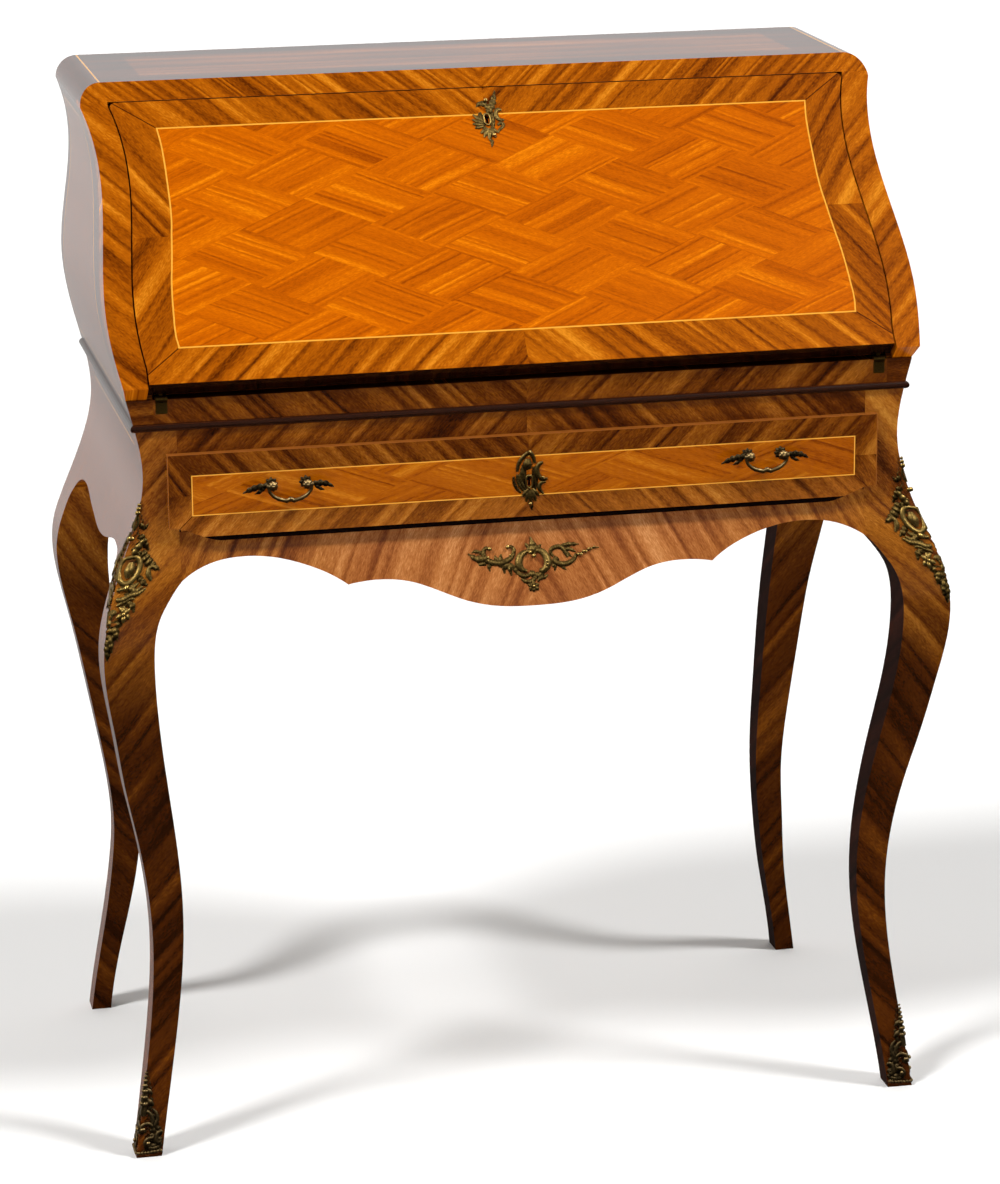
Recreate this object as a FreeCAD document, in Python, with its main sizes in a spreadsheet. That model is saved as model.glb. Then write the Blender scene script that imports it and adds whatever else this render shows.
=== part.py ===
import FreeCAD, Part
import Sketcher
import math
import os
import re
from types import SimpleNamespace
from FreeCAD import Placement, Rotation, Vector

# Slant-front writing desk: a small desk box with a sloping fall stands on a stand with one long drawer
# and four cabriole legs. X runs across the front, Y from front to back, Z up. The pieces are drawn with
# Y = 0 on the face of the drawer frame, and each one's Placement sets it over the middle of the feet.

# Driving sizes in millimetres

SIZES = [
    ("overall_height", 964.0, "floor to the top of the top board"),
    ("writing_height", 713.0, "floor to the writing surface"),
    ("stand_height", 685.0, "floor to the joint between stand and desk box"),
    ("case_depth", 372.0, "drawer frame face to the back of the case"),
    ("knee_half_width", 390.0, "middle to the outside of the front knees"),
    ("knee_height", 496.0, "floor to the widest point of the knees"),
    ("ankle_half_width", 349.0, "middle to the outside of the front ankles"),
    ("ankle_height", 204.0, "floor to the narrowest point of the ankles"),
    ("foot_half_width", 373.1, "middle to the outside of the front feet"),
    ("waist_half_width", 347.0, "middle to the outside of the waist beside the drawer"),
    ("waist_height", 642.0, "floor to the narrowest point of the waist"),
    ("belly_half_width", 370.5, "middle to the widest point of the desk box"),
    ("belly_height", 781.0, "floor to the widest point of the desk box"),
    ("neck_half_width", 360.3, "middle to the narrowest point above the belly"),
    ("neck_height", 877.0, "floor to the narrowest point above the belly"),
    ("shoulder_half_width", 370.0, "middle to the outside under the rounded top corner"),
    ("shoulder_radius", 20.0, "radius of the top board's rounded ends"),
    ("back_knee_half_width", 388.6, "middle to the outside of the back knees"),
    ("back_ankle_half_width", 342.3, "middle to the outside of the back ankles"),
    ("back_foot_half_width", 367.1, "middle to the outside of the back feet"),
    ("back_leg_split_height", 519.0, "height where the back legs leave the side curve"),
    ("foot_width", 23.6, "front foot across the front"),
    ("ankle_width", 28.2, "front ankle across the front"),
    ("knee_width", 44.2, "front knee across the front"),
    ("back_foot_width", 19.2, "back foot across the front"),
    ("back_ankle_width", 26.3, "back ankle across the front"),
    ("back_knee_width", 50.1, "back knee across the front"),
    ("knee_front", 33.2, "front knee in front of the drawer frame"),
    ("ankle_setback", 17.5, "front ankle behind the drawer frame face"),
    ("foot_front", 2.3, "front foot in front of the drawer frame"),
    ("foot_depth", 23.7, "front foot front to back"),
    ("ankle_depth", 24.5, "front ankle front to back"),
    ("knee_depth", 39.7, "front knee front to back"),
    ("bulge_top_height", 583.0, "height where the knee's swell meets the drawer frame"),
    ("back_foot_reach", 29.9, "back foot behind the back of the case"),
    ("back_foot_depth", 23.8, "back foot front to back"),
    ("back_ankle_reach", 0.5, "back ankle in front of the back of the case"),
    ("back_ankle_depth", 24.0, "back ankle front to back"),
    ("back_knee_reach", 22.5, "back knee behind the back of the case"),
    ("back_knee_depth", 34.0, "back knee front to back"),
    ("back_knee_height", 424.0, "floor to the rearmost point of the back knees"),
    ("back_swell_height", 574.0, "height where the back knee leaves the case back"),
    ("front_post_depth", 38.0, "front leg's post front to back"),
    ("back_post_depth", 50.0, "back leg's post front to back"),
    ("opening_half_width", 316.0, "middle to the drawer opening's side"),
    ("spandrel_height", 550.0, "height of the apron's edge where it meets a leg"),
    ("apron_arch_height", 567.0, "top of the arch in the front apron's edge"),
    ("apron_arch_half_width", 258.0, "middle to the top of that arch"),
    ("apron_cusp_height", 538.5, "height of the cusp in the front apron's edge"),
    ("apron_cusp_half_width", 168.0, "middle to the cusp"),
    ("apron_drop_height", 511.0, "lowest point of the front apron"),
    ("side_arch_front_height", 569.5, "side apron's edge where it meets the front leg"),
    ("side_arch_back_height", 556.5, "side apron's edge where it meets the back leg"),
    ("side_drop_height", 561.0, "lowest point of the side apron's edge"),
    ("side_arch_height", 572.4, "highest points of the side apron's edge"),
    ("apron_thickness", 20.0, "front apron's board"),
    ("side_apron_thickness", 15.0, "side apron's board"),
    ("back_apron_thickness", 14.0, "back apron's board"),
    ("back_apron_height", 559.0, "floor to the back apron's lower edge"),
    ("opening_bottom", 592.0, "floor to the drawer opening"),
    ("opening_top", 656.0, "floor to the rail above the drawer"),
    ("inner_half_width", 336.0, "middle to the cheeks' inner faces"),
    ("top_thickness", 16.0, "top board"),
    ("slope_angle", 48.69, "slope of the fall above level, in degrees"),
    ("slope_thickness", 19.5, "stiles square to the slope"),
    ("stile_width", 25.0, "stiles across the slope"),
    ("pivot_setback", 1.6, "hinge line behind the hinge rail's face"),
    ("hinge_rail_depth", 44.0, "hinge rail front to back"),
    ("floor_thickness", 16.0, "writing floor"),
    ("upper_back_thickness", 10.0, "panel behind the desk box"),
    ("back_rebate", 2.0, "upper back panel in front of the cheeks' back edges"),
    ("lock_rail_depth", 36.0, "rail under the front of the top board"),
    ("lock_rail_height", 24.0, "same rail below the top board"),
    ("fall_top_gap", 0.8, "gap above the closed fall"),
    ("fall_side_gap", 1.4, "gap beside the closed fall"),
    ("fall_straight_reach", 20.0, "straight lower end of the fall's sides above the hinge line"),
    ("fall_rest_gap", 0.3, "closed fall in front of its rebate"),
    ("hinge_gap", 4.5, "fall's lower edge above the hinge line"),
    ("fall_corner_radius", 5.0, "rounded upper corners of the fall"),
    ("skiver_half_width", 286.0, "half of the leather's width"),
    ("skiver_low", 34.0, "hinge line to the leather's lower edge"),
    ("skiver_high", 240.0, "hinge line to the leather's upper edge"),
    ("skiver_thickness", 1.0, "leather"),
    ("moulding_radius", 3.5, "half-round waist moulding"),
    ("moulding_height", 688.0, "floor to the middle of the waist moulding"),
    ("hinge_half_width", 328.5, "middle of the desk to the middle of a hinge"),
    ("hinge_knuckle_length", 3.4, "length of one hinge knuckle"),
    ("knuckle_gap", 0.2, "play between two knuckles"),
    ("knuckle_radius", 3.0, "hinge knuckle"),
    ("pin_radius", 1.2, "hinge pin"),
    ("leaf_thickness", 1.4, "hinge leaf"),
    ("leaf_length", 13.0, "hinge leaf beyond the hinge line"),
    ("running_clearance", 0.05, "radial play of a pin in its hole"),
    ("seat_clearance", 0.3, "play between pieces that swing past each other"),
    ("stay_fall_reach", 120.0, "hinge line to the stay's pivot along the fall"),
    ("stay_fall_rise", 12.0, "stay's pivot above the fall's inner face"),
    ("stay_cheek_reach", 165.0, "hinge line back to the stay's pivot on the cheek"),
    ("stay_cheek_rise", 60.0, "writing floor up to the stay's pivot on the cheek"),
    ("stay_arm_width", 9.0, "stay's arm across its flat"),
    ("stay_arm_thickness", 2.5, "stay's arm"),
    ("stay_plate_thickness", 2.0, "stay's plates"),
    ("stay_rivet_radius", 2.0, "rivets of the stay"),
    ("stay_head_thickness", 1.0, "rivet heads of the stay"),
    ("nest_front", 228.0, "drawer frame face back to the nest"),
    ("nest_board", 8.0, "boards of the nest"),
    ("stay_lane", 12.0, "space for the stay between nest and cheek"),
    ("nest_shelf_height", 66.0, "writing floor to the underside of the nest's shelf"),
    ("nest_divider_offset", 110.0, "middle of the desk to the middle of a divider"),
    ("small_drawer_gap", 1.0, "play round a small drawer"),
    ("small_drawer_wall", 7.0, "walls of a small drawer"),
    ("small_drawer_front", 12.0, "front of a small drawer"),
    ("small_drawer_bottom", 4.0, "bottom of a small drawer"),
    ("knob_radius", 6.5, "head of a small knob"),
    ("knob_length", 13.0, "small knob in front of its drawer"),
    ("knob_stem_radius", 3.0, "stem of a small knob"),
    ("drawer_lip_half_width", 326.0, "half width of the drawer front"),
    ("drawer_lip_top", 664.0, "floor to the top of the drawer front"),
    ("drawer_lip_bottom", 584.0, "floor to the bottom of the drawer front"),
    ("drawer_lip_rise", 13.0, "rise of the drawer front's lower corners"),
    ("drawer_lip_sweep", 50.0, "length of that rise along the edge"),
    ("drawer_lip_thickness", 6.5, "drawer front proud of the frame"),
    ("lip_gap", 0.3, "play between the lip and the frame"),
    ("drawer_front_inset", 14.0, "drawer front behind the frame face"),
    ("drawer_side_gap", 1.5, "play beside the drawer"),
    ("drawer_head_gap", 0.8, "play above the drawer front's tongue"),
    ("drawer_seat_gap", 0.3, "drawer above its runners"),
    ("drawer_side_thickness", 10.0, "drawer side"),
    ("drawer_wall_top", 648.0, "floor to the top of the drawer's sides"),
    ("drawer_floor_lift", 5.0, "drawer bottom above the runners"),
    ("drawer_floor_thickness", 5.0, "drawer bottom"),
    ("groove_depth", 3.0, "groove for the drawer bottom"),
    ("drawer_back_setback", 345.0, "drawer frame face to the back of the drawer"),
    ("runner_width", 40.0, "drawer runner across"),
    ("runner_thickness", 14.0, "drawer runner"),
    ("guide_height", 30.0, "side guide on the runner"),
    ("guide_thickness", 9.0, "side guide on the runner"),
    ("kicker_width", 33.0, "kicker across"),
    ("kicker_thickness", 16.0, "kicker above the drawer"),
    ("runner_play", 1.0, "play above and below the drawer"),
    ("keyhole_slope", 262.4, "hinge line to the fall's keyhole along the slope"),
    ("lock_half_width", 27.0, "half width of a lock case"),
    ("lock_drop", 40.0, "lock case below the edge it locks"),
    ("lock_thickness", 9.0, "lock case"),
    ("bolt_half_width", 9.0, "half width of a lock bolt"),
    ("bolt_thickness", 4.0, "lock bolt"),
    ("bolt_length", 24.0, "lock bolt"),
    ("bolt_setback", 0.4, "drawn bolt below the edge"),
    ("bolt_play", 0.3, "play round a bolt"),
    ("bolt_throw", 6.0, "travel of a lock bolt"),
    ("strike_play", 1.0, "play round a thrown bolt"),
    ("handle_offset", 218.5, "middle of the desk to the middle of a handle"),
    ("handle_height", 633.0, "floor to the handles' studs"),
    ("stud_spacing", 31.0, "distance between the two studs of a handle"),
    ("stud_radius", 2.8, "shank of a handle stud"),
    ("stud_eye_radius", 4.8, "round head of a handle stud"),
    ("stud_reach", 10.5, "drawer face to the bail's pivot"),
    ("bail_pin_radius", 1.5, "pins that carry the bail"),
    ("bail_radius", 1.9, "bail's bar"),
    ("bail_drop", 15.5, "bail below its pivot"),
    ("bail_side_gap", 0.6, "play between stud and bail"),
    ("spray_length", 21.0, "leaf beyond the end of the bail"),
    ("spray_width", 9.0, "leaf across"),
    ("mount_thickness", 4.3, "cast mounts"),
    ("escutcheon_thickness", 2.4, "key plates"),
    ("escutcheon_width", 34.0, "key plates across"),
    ("escutcheon_height", 59.0, "key plates from tip to tip"),
    ("drawer_keyhole_height", 623.0, "floor to the drawer's keyhole"),
    ("keyhole_radius", 2.0, "round part of a keyhole"),
    ("keyhole_drop", 6.5, "slot under the round part of a keyhole"),
    ("apron_mount_width", 122.0, "apron mount from tip to tip"),
    ("apron_mount_top", 572.0, "floor to the top of the apron mount"),
    ("apron_mount_bottom", 523.0, "floor to the bottom of the apron mount"),
    ("corner_mount_top", 622.0, "floor to the top of a knee mount"),
    ("corner_mount_bottom", 482.0, "floor to the bottom of a knee mount"),
    ("corner_mount_width", 34.0, "knee mount across its widest part"),
    ("sabot_height", 84.0, "floor to the tip of a foot mount"),
    ("sabot_foot", 4.0, "floor to the lower edge of a foot mount"),
    ("sabot_thickness", 2.4, "foot mount"),
    ("overrun", 20.0, "how far a cutting shape runs past what it cuts"),
]

doc = FreeCAD.newDocument("writing_desk")
sheet = doc.addObject("Spreadsheet::Sheet", "sizes")
for row, (alias, value, note) in enumerate(SIZES, start=1):
    sheet.set("A%d" % row, note)
    sheet.set("B%d" % row, str(value))
    sheet.setAlias("B%d" % row, alias)
doc.recompute()
s = SimpleNamespace(**{alias: float(sheet.get(alias)) for alias, value, note in SIZES})

# The curves pass through named points. Between two of those, a table of shares says how far across and
# how far up each middle point lies, on the way from the first named point to the second.

SIDE_FOOT_SHARES = [(0.56, 0.418)]
SIDE_LEG_SHARES = [(0.345, 0.38), (0.56, 0.52), (0.80, 0.72)]
SIDE_WAIST_SHARES = [(0.53, 0.50)]
SIDE_BELLY_SHARES = [(0.53, 0.50)]

INNER_FOOT_SHARES = [(0.561, 0.482)]
INNER_LEG_SHARES = [(0.09, 0.256), (0.49, 0.545), (0.888, 0.833)]
INNER_SPANDREL_SHARES = [(0.02, 0.277), (0.228, 0.606), (0.53, 0.79), (0.82, 0.93)]

FRONT_FOOT_SHARES = [(0.495, 0.482)]
FRONT_LEG_SHARES = [(0.148, 0.293), (0.464, 0.545), (0.818, 0.782)]
FRONT_KNEE_SHARES = [(0.14, 0.36), (0.55, 0.63), (0.86, 0.81)]

REAR_FOOT_SHARES = [(0.367, 0.331), (0.755, 0.588)]
REAR_LEG_SHARES = [(0.17, 0.34), (0.42, 0.545), (0.73, 0.72), (0.93, 0.87)]
REAR_SPANDREL_SHARES = [(0.016, 0.315), (0.11, 0.576), (0.333, 0.786), (0.65, 0.92)]

BACK_OUTER_LEG_SHARES = [(0.082, 0.132), (0.32, 0.30), (0.607, 0.54), (0.84, 0.75)]
BACK_OUTER_FOOT_SHARES = [(0.086, 0.18), (0.391, 0.518), (0.784, 0.82)]
BACK_SPANDREL_SHARES = [(0.49, 0.145), (0.845, 0.36), (0.98, 0.62)]
BACK_INNER_LEG_SHARES = [(0.067, 0.095), (0.29, 0.27), (0.555, 0.465), (0.78, 0.66)]
BACK_INNER_FOOT_SHARES = [(0.173, 0.269), (0.44, 0.506), (0.801, 0.785)]

BACK_ARCH_SHARES = [(0.21, 0.09), (0.286, 0.208), (0.40, 0.336), (0.60, 0.457), (0.88, 0.698)]
BACK_FACE_LEG_SHARES = [(0.115, 0.19), (0.42, 0.425), (0.73, 0.66), (0.92, 0.85)]
BACK_FACE_FOOT_SHARES = [(0.15, 0.226), (0.609, 0.518), (0.928, 0.82)]
BACK_SWELL_SHARES = [(0.13, 0.20), (0.49, 0.467), (0.84, 0.733)]
BACK_REAR_LEG_SHARES = [(0.087, 0.19), (0.37, 0.425), (0.66, 0.66), (0.88, 0.85)]
BACK_REAR_FOOT_SHARES = [(0.151, 0.226), (0.643, 0.518), (0.934, 0.82)]

APRON_ARCH_SHARES = [(0.28, 0.54), (0.60, 0.88)]
APRON_CUSP_SHARES = [(0.26, 0.07), (0.59, 0.35), (0.86, 0.72)]
APRON_DROP_SHARES = [(0.167, -0.09), (0.34, 0.036), (0.476, 0.33), (0.631, 0.71), (0.786, 0.93)]
SIDE_EDGE_SHARES = [
    (0.046, 0.92), (0.12, 0.88), (0.204, 0.44), (0.30, 0.06), (0.408, 0.0),
    (0.528, 0.26), (0.669, 0.61), (0.785, 0.965), (0.898, 0.88), (0.951, 0.53),
]

# Outlines of the cast mounts, as shares of their width and height

ESCUTCHEON_SHARES = [
    (0.10, 0.50), (0.22, 0.36), (0.33, 0.24), (0.50, 0.09), (0.36, -0.06), (0.42, -0.22), (0.20, -0.34),
    (0.02, -0.50), (-0.12, -0.35), (-0.36, -0.24), (-0.30, -0.07), (-0.44, 0.10), (-0.26, 0.22), (-0.10, 0.34),
]
APRON_MOUNT_SHARES = [
    (0.02, 1.0), (0.07, 0.80), (0.15, 0.72), (0.27, 0.70), (0.38, 0.53), (0.50, 0.50), (0.44, 0.33),
    (0.30, 0.34), (0.17, 0.20), (0.06, 0.14), (0.0, 0.0), (-0.06, 0.12), (-0.16, 0.18), (-0.28, 0.32),
    (-0.42, 0.30), (-0.50, 0.45), (-0.38, 0.54), (-0.26, 0.72), (-0.12, 0.74), (-0.05, 0.82),
]
APRON_MOUNT_OPENING_SHARES = (0.075, 0.26, 0.47)
KNEE_MOUNT_SHARES = [
    (-0.02, 1.0), (0.10, 0.90), (0.08, 0.76), (0.14, 0.62), (0.15, 0.50), (0.10, 0.38), (0.10, 0.20),
    (0.05, 0.07), (-0.08, 0.0), (-0.24, 0.07), (-0.33, 0.20), (-0.42, 0.32), (-0.74, 0.42), (-0.94, 0.52),
    (-0.78, 0.62), (-0.42, 0.70), (-0.30, 0.78), (-0.36, 0.88), (-0.20, 0.96),
]
KNEE_MOUNT_OPENING_SHARES = (0.16, 0.065, -0.22, 0.59)
SPRAY_SHARES = [(0.07, 0.28), (0.35, 0.50), (0.72, 0.30), (1.0, -0.45), (0.62, -0.30), (0.30, -0.50), (0.07, -0.28)]


# Helpers for the curves

def mix(low, high, share):
    return low + (high - low) * share


def span(start, shares, end):
    """The middle points and the end point of a stretch between two named points (across, up)."""
    middle = [(mix(start[0], end[0], a), mix(start[1], end[1], b)) for a, b in shares]
    return middle + [end]


def front_view(point):
    return Vector(point[0], 0, point[1])


def side_view(point):
    return Vector(0, point[0], point[1])


def plan_view(point):
    return Vector(point[0], point[1], 0)


def smooth(points, view, closed=False):
    """A smooth curve through points (across, up), drawn in one of the views."""
    curve = Part.BSplineCurve()
    curve.interpolate(Points=[view(p) for p in points], PeriodicFlag=closed)
    return curve


def parameter_at(curve, height):
    """Where a curve that only climbs, or only falls, passes a height."""
    low, high = curve.FirstParameter, curve.LastParameter
    rising = curve.value(high).z > curve.value(low).z
    for _ in range(60):
        middle = (low + high) / 2
        if (curve.value(middle).z < height) == rising:
            low = middle
        else:
            high = middle
    return (low + high) / 2


def stretch(curve, low, high):
    """The edge of a curve between two heights."""
    ends = sorted((parameter_at(curve, low), parameter_at(curve, high)))
    part = curve.copy()
    part.segment(ends[0], ends[1])
    return part.toShape()


def shifted(edge, x, y, z):
    moved = edge.copy()
    moved.translate(Vector(x, y, z))
    return moved


def line(start, end):
    return Part.LineSegment(start, end).toShape()


def closed_face(edges):
    return Part.Face(Part.Wire(Part.__sortEdges__(edges)))


def low_end(edge):
    return min((v.Point for v in edge.Vertexes), key=lambda p: p.z)


def high_end(edge):
    return max((v.Point for v in edge.Vertexes), key=lambda p: p.z)


def face_between(first, second):
    """The face between two climbing edges, closed by straight lines at the bottom and the top."""
    return closed_face([
        first, second, line(low_end(first), low_end(second)), line(high_end(first), high_end(second)),
    ])


def polygon_face(points, view):
    corners = [view(p) for p in points]
    return Part.Face(Part.makePolygon(corners + corners[:1]))


# Helpers for the document's objects

def bound(text):
    """Turn a sum of size names into an expression on the sheet."""
    return re.sub(r"[a-z][a-z_]*", lambda name: "sizes." + name.group(0), text)


SETBACK = "(case_depth + back_foot_reach - knee_front - mount_thickness) / 2"
setback = (s.case_depth + s.back_foot_reach - s.knee_front - s.mount_thickness) / 2
slope = math.radians(s.slope_angle)
along = Vector(0, math.cos(slope), math.sin(slope))
outward = Vector(0, -math.sin(slope), math.cos(slope))
hinge_line = Vector(0, s.pivot_setback, s.writing_height)
NODES = []


def add(kind, name, **links):
    piece = doc.addObject("Part::" + kind, name)
    for key, value in links.items():
        setattr(piece, key, value)
    return piece


def board(name, x, y, z):
    """A board between two named places along each axis."""
    piece = add("Box", name)
    for side, (low, high) in (("Length", x), ("Width", y), ("Height", z)):
        piece.setExpression(side, bound("(%s) - (%s)" % (high, low)))
    for axis, (low, high) in (("x", x), ("y", y), ("z", z)):
        piece.setExpression("Placement.Base.%s" % axis, bound(low))
    return piece


def pushed(name, face, direction, low, high):
    """A face drawn in a main plane, pushed out between two named places along an axis."""
    piece = add("Extrusion", name, Base=shape(name + "_profile", face), Dir=direction, DirMode="Custom", Solid=True)
    piece.setExpression("LengthFwd", bound(high))
    piece.setExpression("LengthRev", bound("0 - (%s)" % low))
    return piece


def shape(name, solid):
    """A solid kept as drawn: any move it was given becomes part of its geometry."""
    drawn = solid.copy()
    drawn.Placement = Placement()
    drawn.transformShape(solid.Placement.toMatrix(), True)
    piece = doc.addObject("Part::Feature", name)
    piece.Shape = drawn
    return piece


def cut(name, base, tool):
    return add("Cut", name, Base=base, Tool=tool)


def common(name, first, second):
    return add("Common", name, Base=first, Tool=second)


def mirrored(name, source):
    piece = add("Mirroring", name, Source=source, Normal=Vector(1, 0, 0))
    NODES.append(piece)
    return piece


def group(name, *members):
    return add("Compound", name, Links=list(members))


def node(piece):
    """A finished sub-part, drawn from the drawer frame's face and set over the middle of the footprint."""
    NODES.append(piece)
    if piece.TypeId == "Part::Box":
        start = [text for path, text in piece.ExpressionEngine if path.endswith("Placement.Base.y")][0]
        piece.setExpression("Placement.Base.y", "%s - %s" % (start, bound(SETBACK)))
    else:
        piece.setExpression("Placement.Base.y", bound("0 - " + SETBACK))
    return piece


def slope_node(name, solid):
    """A sub-part drawn on the slope: X across, Y up the slope from the hinge line, Z out of its inner face."""
    piece = shape(name, solid)
    piece.Placement = Placement(hinge_line - Vector(0, setback, 0), Rotation(Vector(1, 0, 0), s.slope_angle))
    NODES.append(piece)
    return piece


def on_slope(solid):
    """The same drawing laid on the slope of the desk box."""
    moved = solid.copy()
    moved.Placement = Placement(hinge_line, Rotation(Vector(1, 0, 0), s.slope_angle))
    return moved


def block(x, y, z):
    return Part.makeBox(x[1] - x[0], y[1] - y[0], z[1] - z[0], Vector(x[0], y[0], z[0]))


def rod(start, end, radius):
    start, end = Vector(*start), Vector(*end)
    return Part.makeCylinder(radius, (end - start).Length, start, end - start)


def both_sides(solid):
    other = solid.mirror(Vector(0, 0, 0), Vector(1, 0, 0))
    return Part.makeCompound([solid, other])


def keyhole(x, up, depth, reach):
    """A keyhole seen from the front: a round hole over a slot, cut along Z from depth to reach."""
    hole = rod((x, up, depth), (x, up, reach), s.keyhole_radius)
    half = s.keyhole_radius * KEYHOLE_SLOT_SHARE
    slot = block((x - half, x + half), (up - s.keyhole_drop, up), (depth, reach))
    return hole.fuse(slot)


def upright(solid):
    """A drawing seen from the front (X across, Y up, Z towards the eye) stood up in the desk."""
    moved = solid.copy()
    moved.rotate(Vector(0, 0, 0), Vector(1, 0, 0), 90)
    return moved


KEYHOLE_SLOT_SHARE = 0.55
ESCUTCHEON_RISE_SHARE = 0.02
STAY_SLACK_SHARE = 1.003
STAY_LOWER_SHARE = 0.4
STAY_HEAD_SHARE = 0.4
STUD_WIDTH_SHARE = 0.42
SABOT_WRAP_SHARE = 0.7
SABOT_TIP_SHARE = 0.3
SABOT_LOW_SHARE = 0.35
LIP_SWEEP_SHARES = [(0.2, 0.08), (0.5, 0.5), (0.8, 0.92)]


# Master curves

def half_width_at(height):
    return side_curve.value(parameter_at(side_curve, height)).x


def front_at(height):
    if height >= s.bulge_top_height:
        return 0.0
    return front_curve.value(parameter_at(front_curve, height)).y


foot = (s.foot_half_width, 0)
ankle = (s.ankle_half_width, s.ankle_height)
knee = (s.knee_half_width, s.knee_height)
waist = (s.waist_half_width, s.waist_height)
belly = (s.belly_half_width, s.belly_height)
neck = (s.neck_half_width, s.neck_height)
shoulder = (s.shoulder_half_width, s.overall_height - s.shoulder_radius)
side_points = [foot] + span(foot, SIDE_FOOT_SHARES, ankle) + span(ankle, SIDE_LEG_SHARES, knee)
side_points += span(knee, SIDE_WAIST_SHARES, waist) + span(waist, SIDE_BELLY_SHARES, belly) + [neck, shoulder]
side_curve = smooth(side_points, front_view)

knee_middle = s.knee_height - s.knee_width / 2
front_foot = (-s.foot_front, 0)
front_ankle = (s.ankle_setback, s.ankle_height)
front_knee = (-s.knee_front, knee_middle)
front_points = [front_foot] + span(front_foot, FRONT_FOOT_SHARES, front_ankle)
front_points += span(front_ankle, FRONT_LEG_SHARES, front_knee)
front_points += span(front_knee, FRONT_KNEE_SHARES, (0, s.bulge_top_height))
front_curve = smooth(front_points, side_view)

top_under = s.overall_height - s.top_thickness
back_inside = s.case_depth - s.back_rebate - s.upper_back_thickness
slope_base = hinge_line + outward * s.slope_thickness


def slope_point(up, out):
    """A place on the slope as (Y, Z), from its reach above the hinge line and out of the inner face."""
    place = hinge_line + along * up + outward * out
    return (place.y, place.z)


def reach_at(height, out):
    """How far up the slope a height lies."""
    return (height - s.writing_height - out * math.cos(slope)) / math.sin(slope)


# Front legs: each runs from the floor up to the joint under the desk box, and is what two sawn outlines
# leave of one block, the outline seen from the front and the outline seen from the side

post_foot = (s.opening_half_width, s.spandrel_height)
inner_foot = (s.foot_half_width - s.foot_width, 0)
inner_ankle = (s.ankle_half_width - s.ankle_width, s.ankle_height)
inner_knee = (s.knee_half_width - s.knee_width, knee_middle)
inner_points = [inner_foot] + span(inner_foot, INNER_FOOT_SHARES, inner_ankle)
inner_points += span(inner_ankle, INNER_LEG_SHARES, inner_knee)
inner_points += span(inner_knee, INNER_SPANDREL_SHARES, post_foot)
inner_edge = smooth(inner_points, front_view).toShape()
outer_edge = stretch(side_curve, 0, s.stand_height)
post_top = Vector(s.opening_half_width, 0, s.stand_height)
front_outline = closed_face([
    outer_edge, inner_edge, line(low_end(inner_edge), low_end(outer_edge)),
    line(high_end(inner_edge), post_top), line(post_top, high_end(outer_edge)),
])
rear_foot = (s.foot_depth - s.foot_front, 0)
rear_ankle = (s.ankle_setback + s.ankle_depth, s.ankle_height)
rear_knee = (s.knee_depth - s.knee_front, knee_middle)
rear_post = (s.front_post_depth, s.side_arch_front_height)
rear_points = [rear_foot] + span(rear_foot, REAR_FOOT_SHARES, rear_ankle)
rear_points += span(rear_ankle, REAR_LEG_SHARES, rear_knee) + span(rear_knee, REAR_SPANDREL_SHARES, rear_post)
rear_edge = smooth(rear_points, side_view).toShape()
front_edge = front_curve.toShape()
post_back = Vector(0, s.front_post_depth, s.stand_height)
post_front = Vector(0, 0, s.stand_height)
side_outline = closed_face([
    front_edge, rear_edge, line(low_end(front_edge), low_end(rear_edge)), line(high_end(rear_edge), post_back),
    line(post_back, post_front), line(post_front, high_end(front_edge)),
])
seen_from_front = pushed("front_leg_front", front_outline, Vector(0, 1, 0), "0 - knee_front - overrun", "front_post_depth + overrun")
seen_from_side = pushed("front_leg_side", side_outline, Vector(1, 0, 0), "0", "knee_half_width + overrun")
front_leg_right = node(common("front_leg_right", seen_from_front, seen_from_side))
mirrored("front_leg_left", front_leg_right)

# Back legs: the same way, with their own curve below the knee and feet that reach back

back_knee = (s.back_knee_half_width, s.knee_height)
back_ankle = (s.back_ankle_half_width, s.ankle_height)
back_foot = (s.back_foot_half_width, 0)
split = (half_width_at(s.back_leg_split_height), s.back_leg_split_height)
outer_points = [split, back_knee] + span(back_knee, BACK_OUTER_LEG_SHARES, back_ankle)
outer_points += span(back_ankle, BACK_OUTER_FOOT_SHARES, back_foot)
back_outer_edge = smooth(outer_points, front_view).toShape()
back_upper_edge = stretch(side_curve, s.back_leg_split_height, s.stand_height)
back_post_foot = (s.opening_half_width, s.back_apron_height)
back_inner_knee = (s.back_knee_half_width - s.back_knee_width, knee_middle)
back_inner_ankle = (s.back_ankle_half_width - s.back_ankle_width, s.ankle_height)
back_inner_foot = (s.back_foot_half_width - s.back_foot_width, 0)
inner_points = [back_post_foot] + span(back_post_foot, BACK_SPANDREL_SHARES, back_inner_knee)
inner_points += span(back_inner_knee, BACK_INNER_LEG_SHARES, back_inner_ankle)
inner_points += span(back_inner_ankle, BACK_INNER_FOOT_SHARES, back_inner_foot)
back_inner_edge = smooth(inner_points, front_view).toShape()
back_outline = closed_face([
    back_outer_edge, back_upper_edge, back_inner_edge, line(low_end(back_inner_edge), low_end(back_outer_edge)),
    line(high_end(back_inner_edge), post_top), line(post_top, high_end(back_upper_edge)),
])
arch_end = (s.case_depth - s.back_post_depth, s.side_arch_back_height)
face_knee = (s.case_depth + s.back_knee_reach - s.back_knee_depth, s.back_knee_height)
face_ankle = (s.case_depth - s.back_ankle_reach - s.back_ankle_depth, s.ankle_height)
face_foot = (s.case_depth + s.back_foot_reach - s.back_foot_depth, 0)
face_points = [arch_end] + span(arch_end, BACK_ARCH_SHARES, face_knee)
face_points += span(face_knee, BACK_FACE_LEG_SHARES, face_ankle)
face_points += span(face_ankle, BACK_FACE_FOOT_SHARES, face_foot)
face_edge = smooth(face_points, side_view).toShape()
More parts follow.
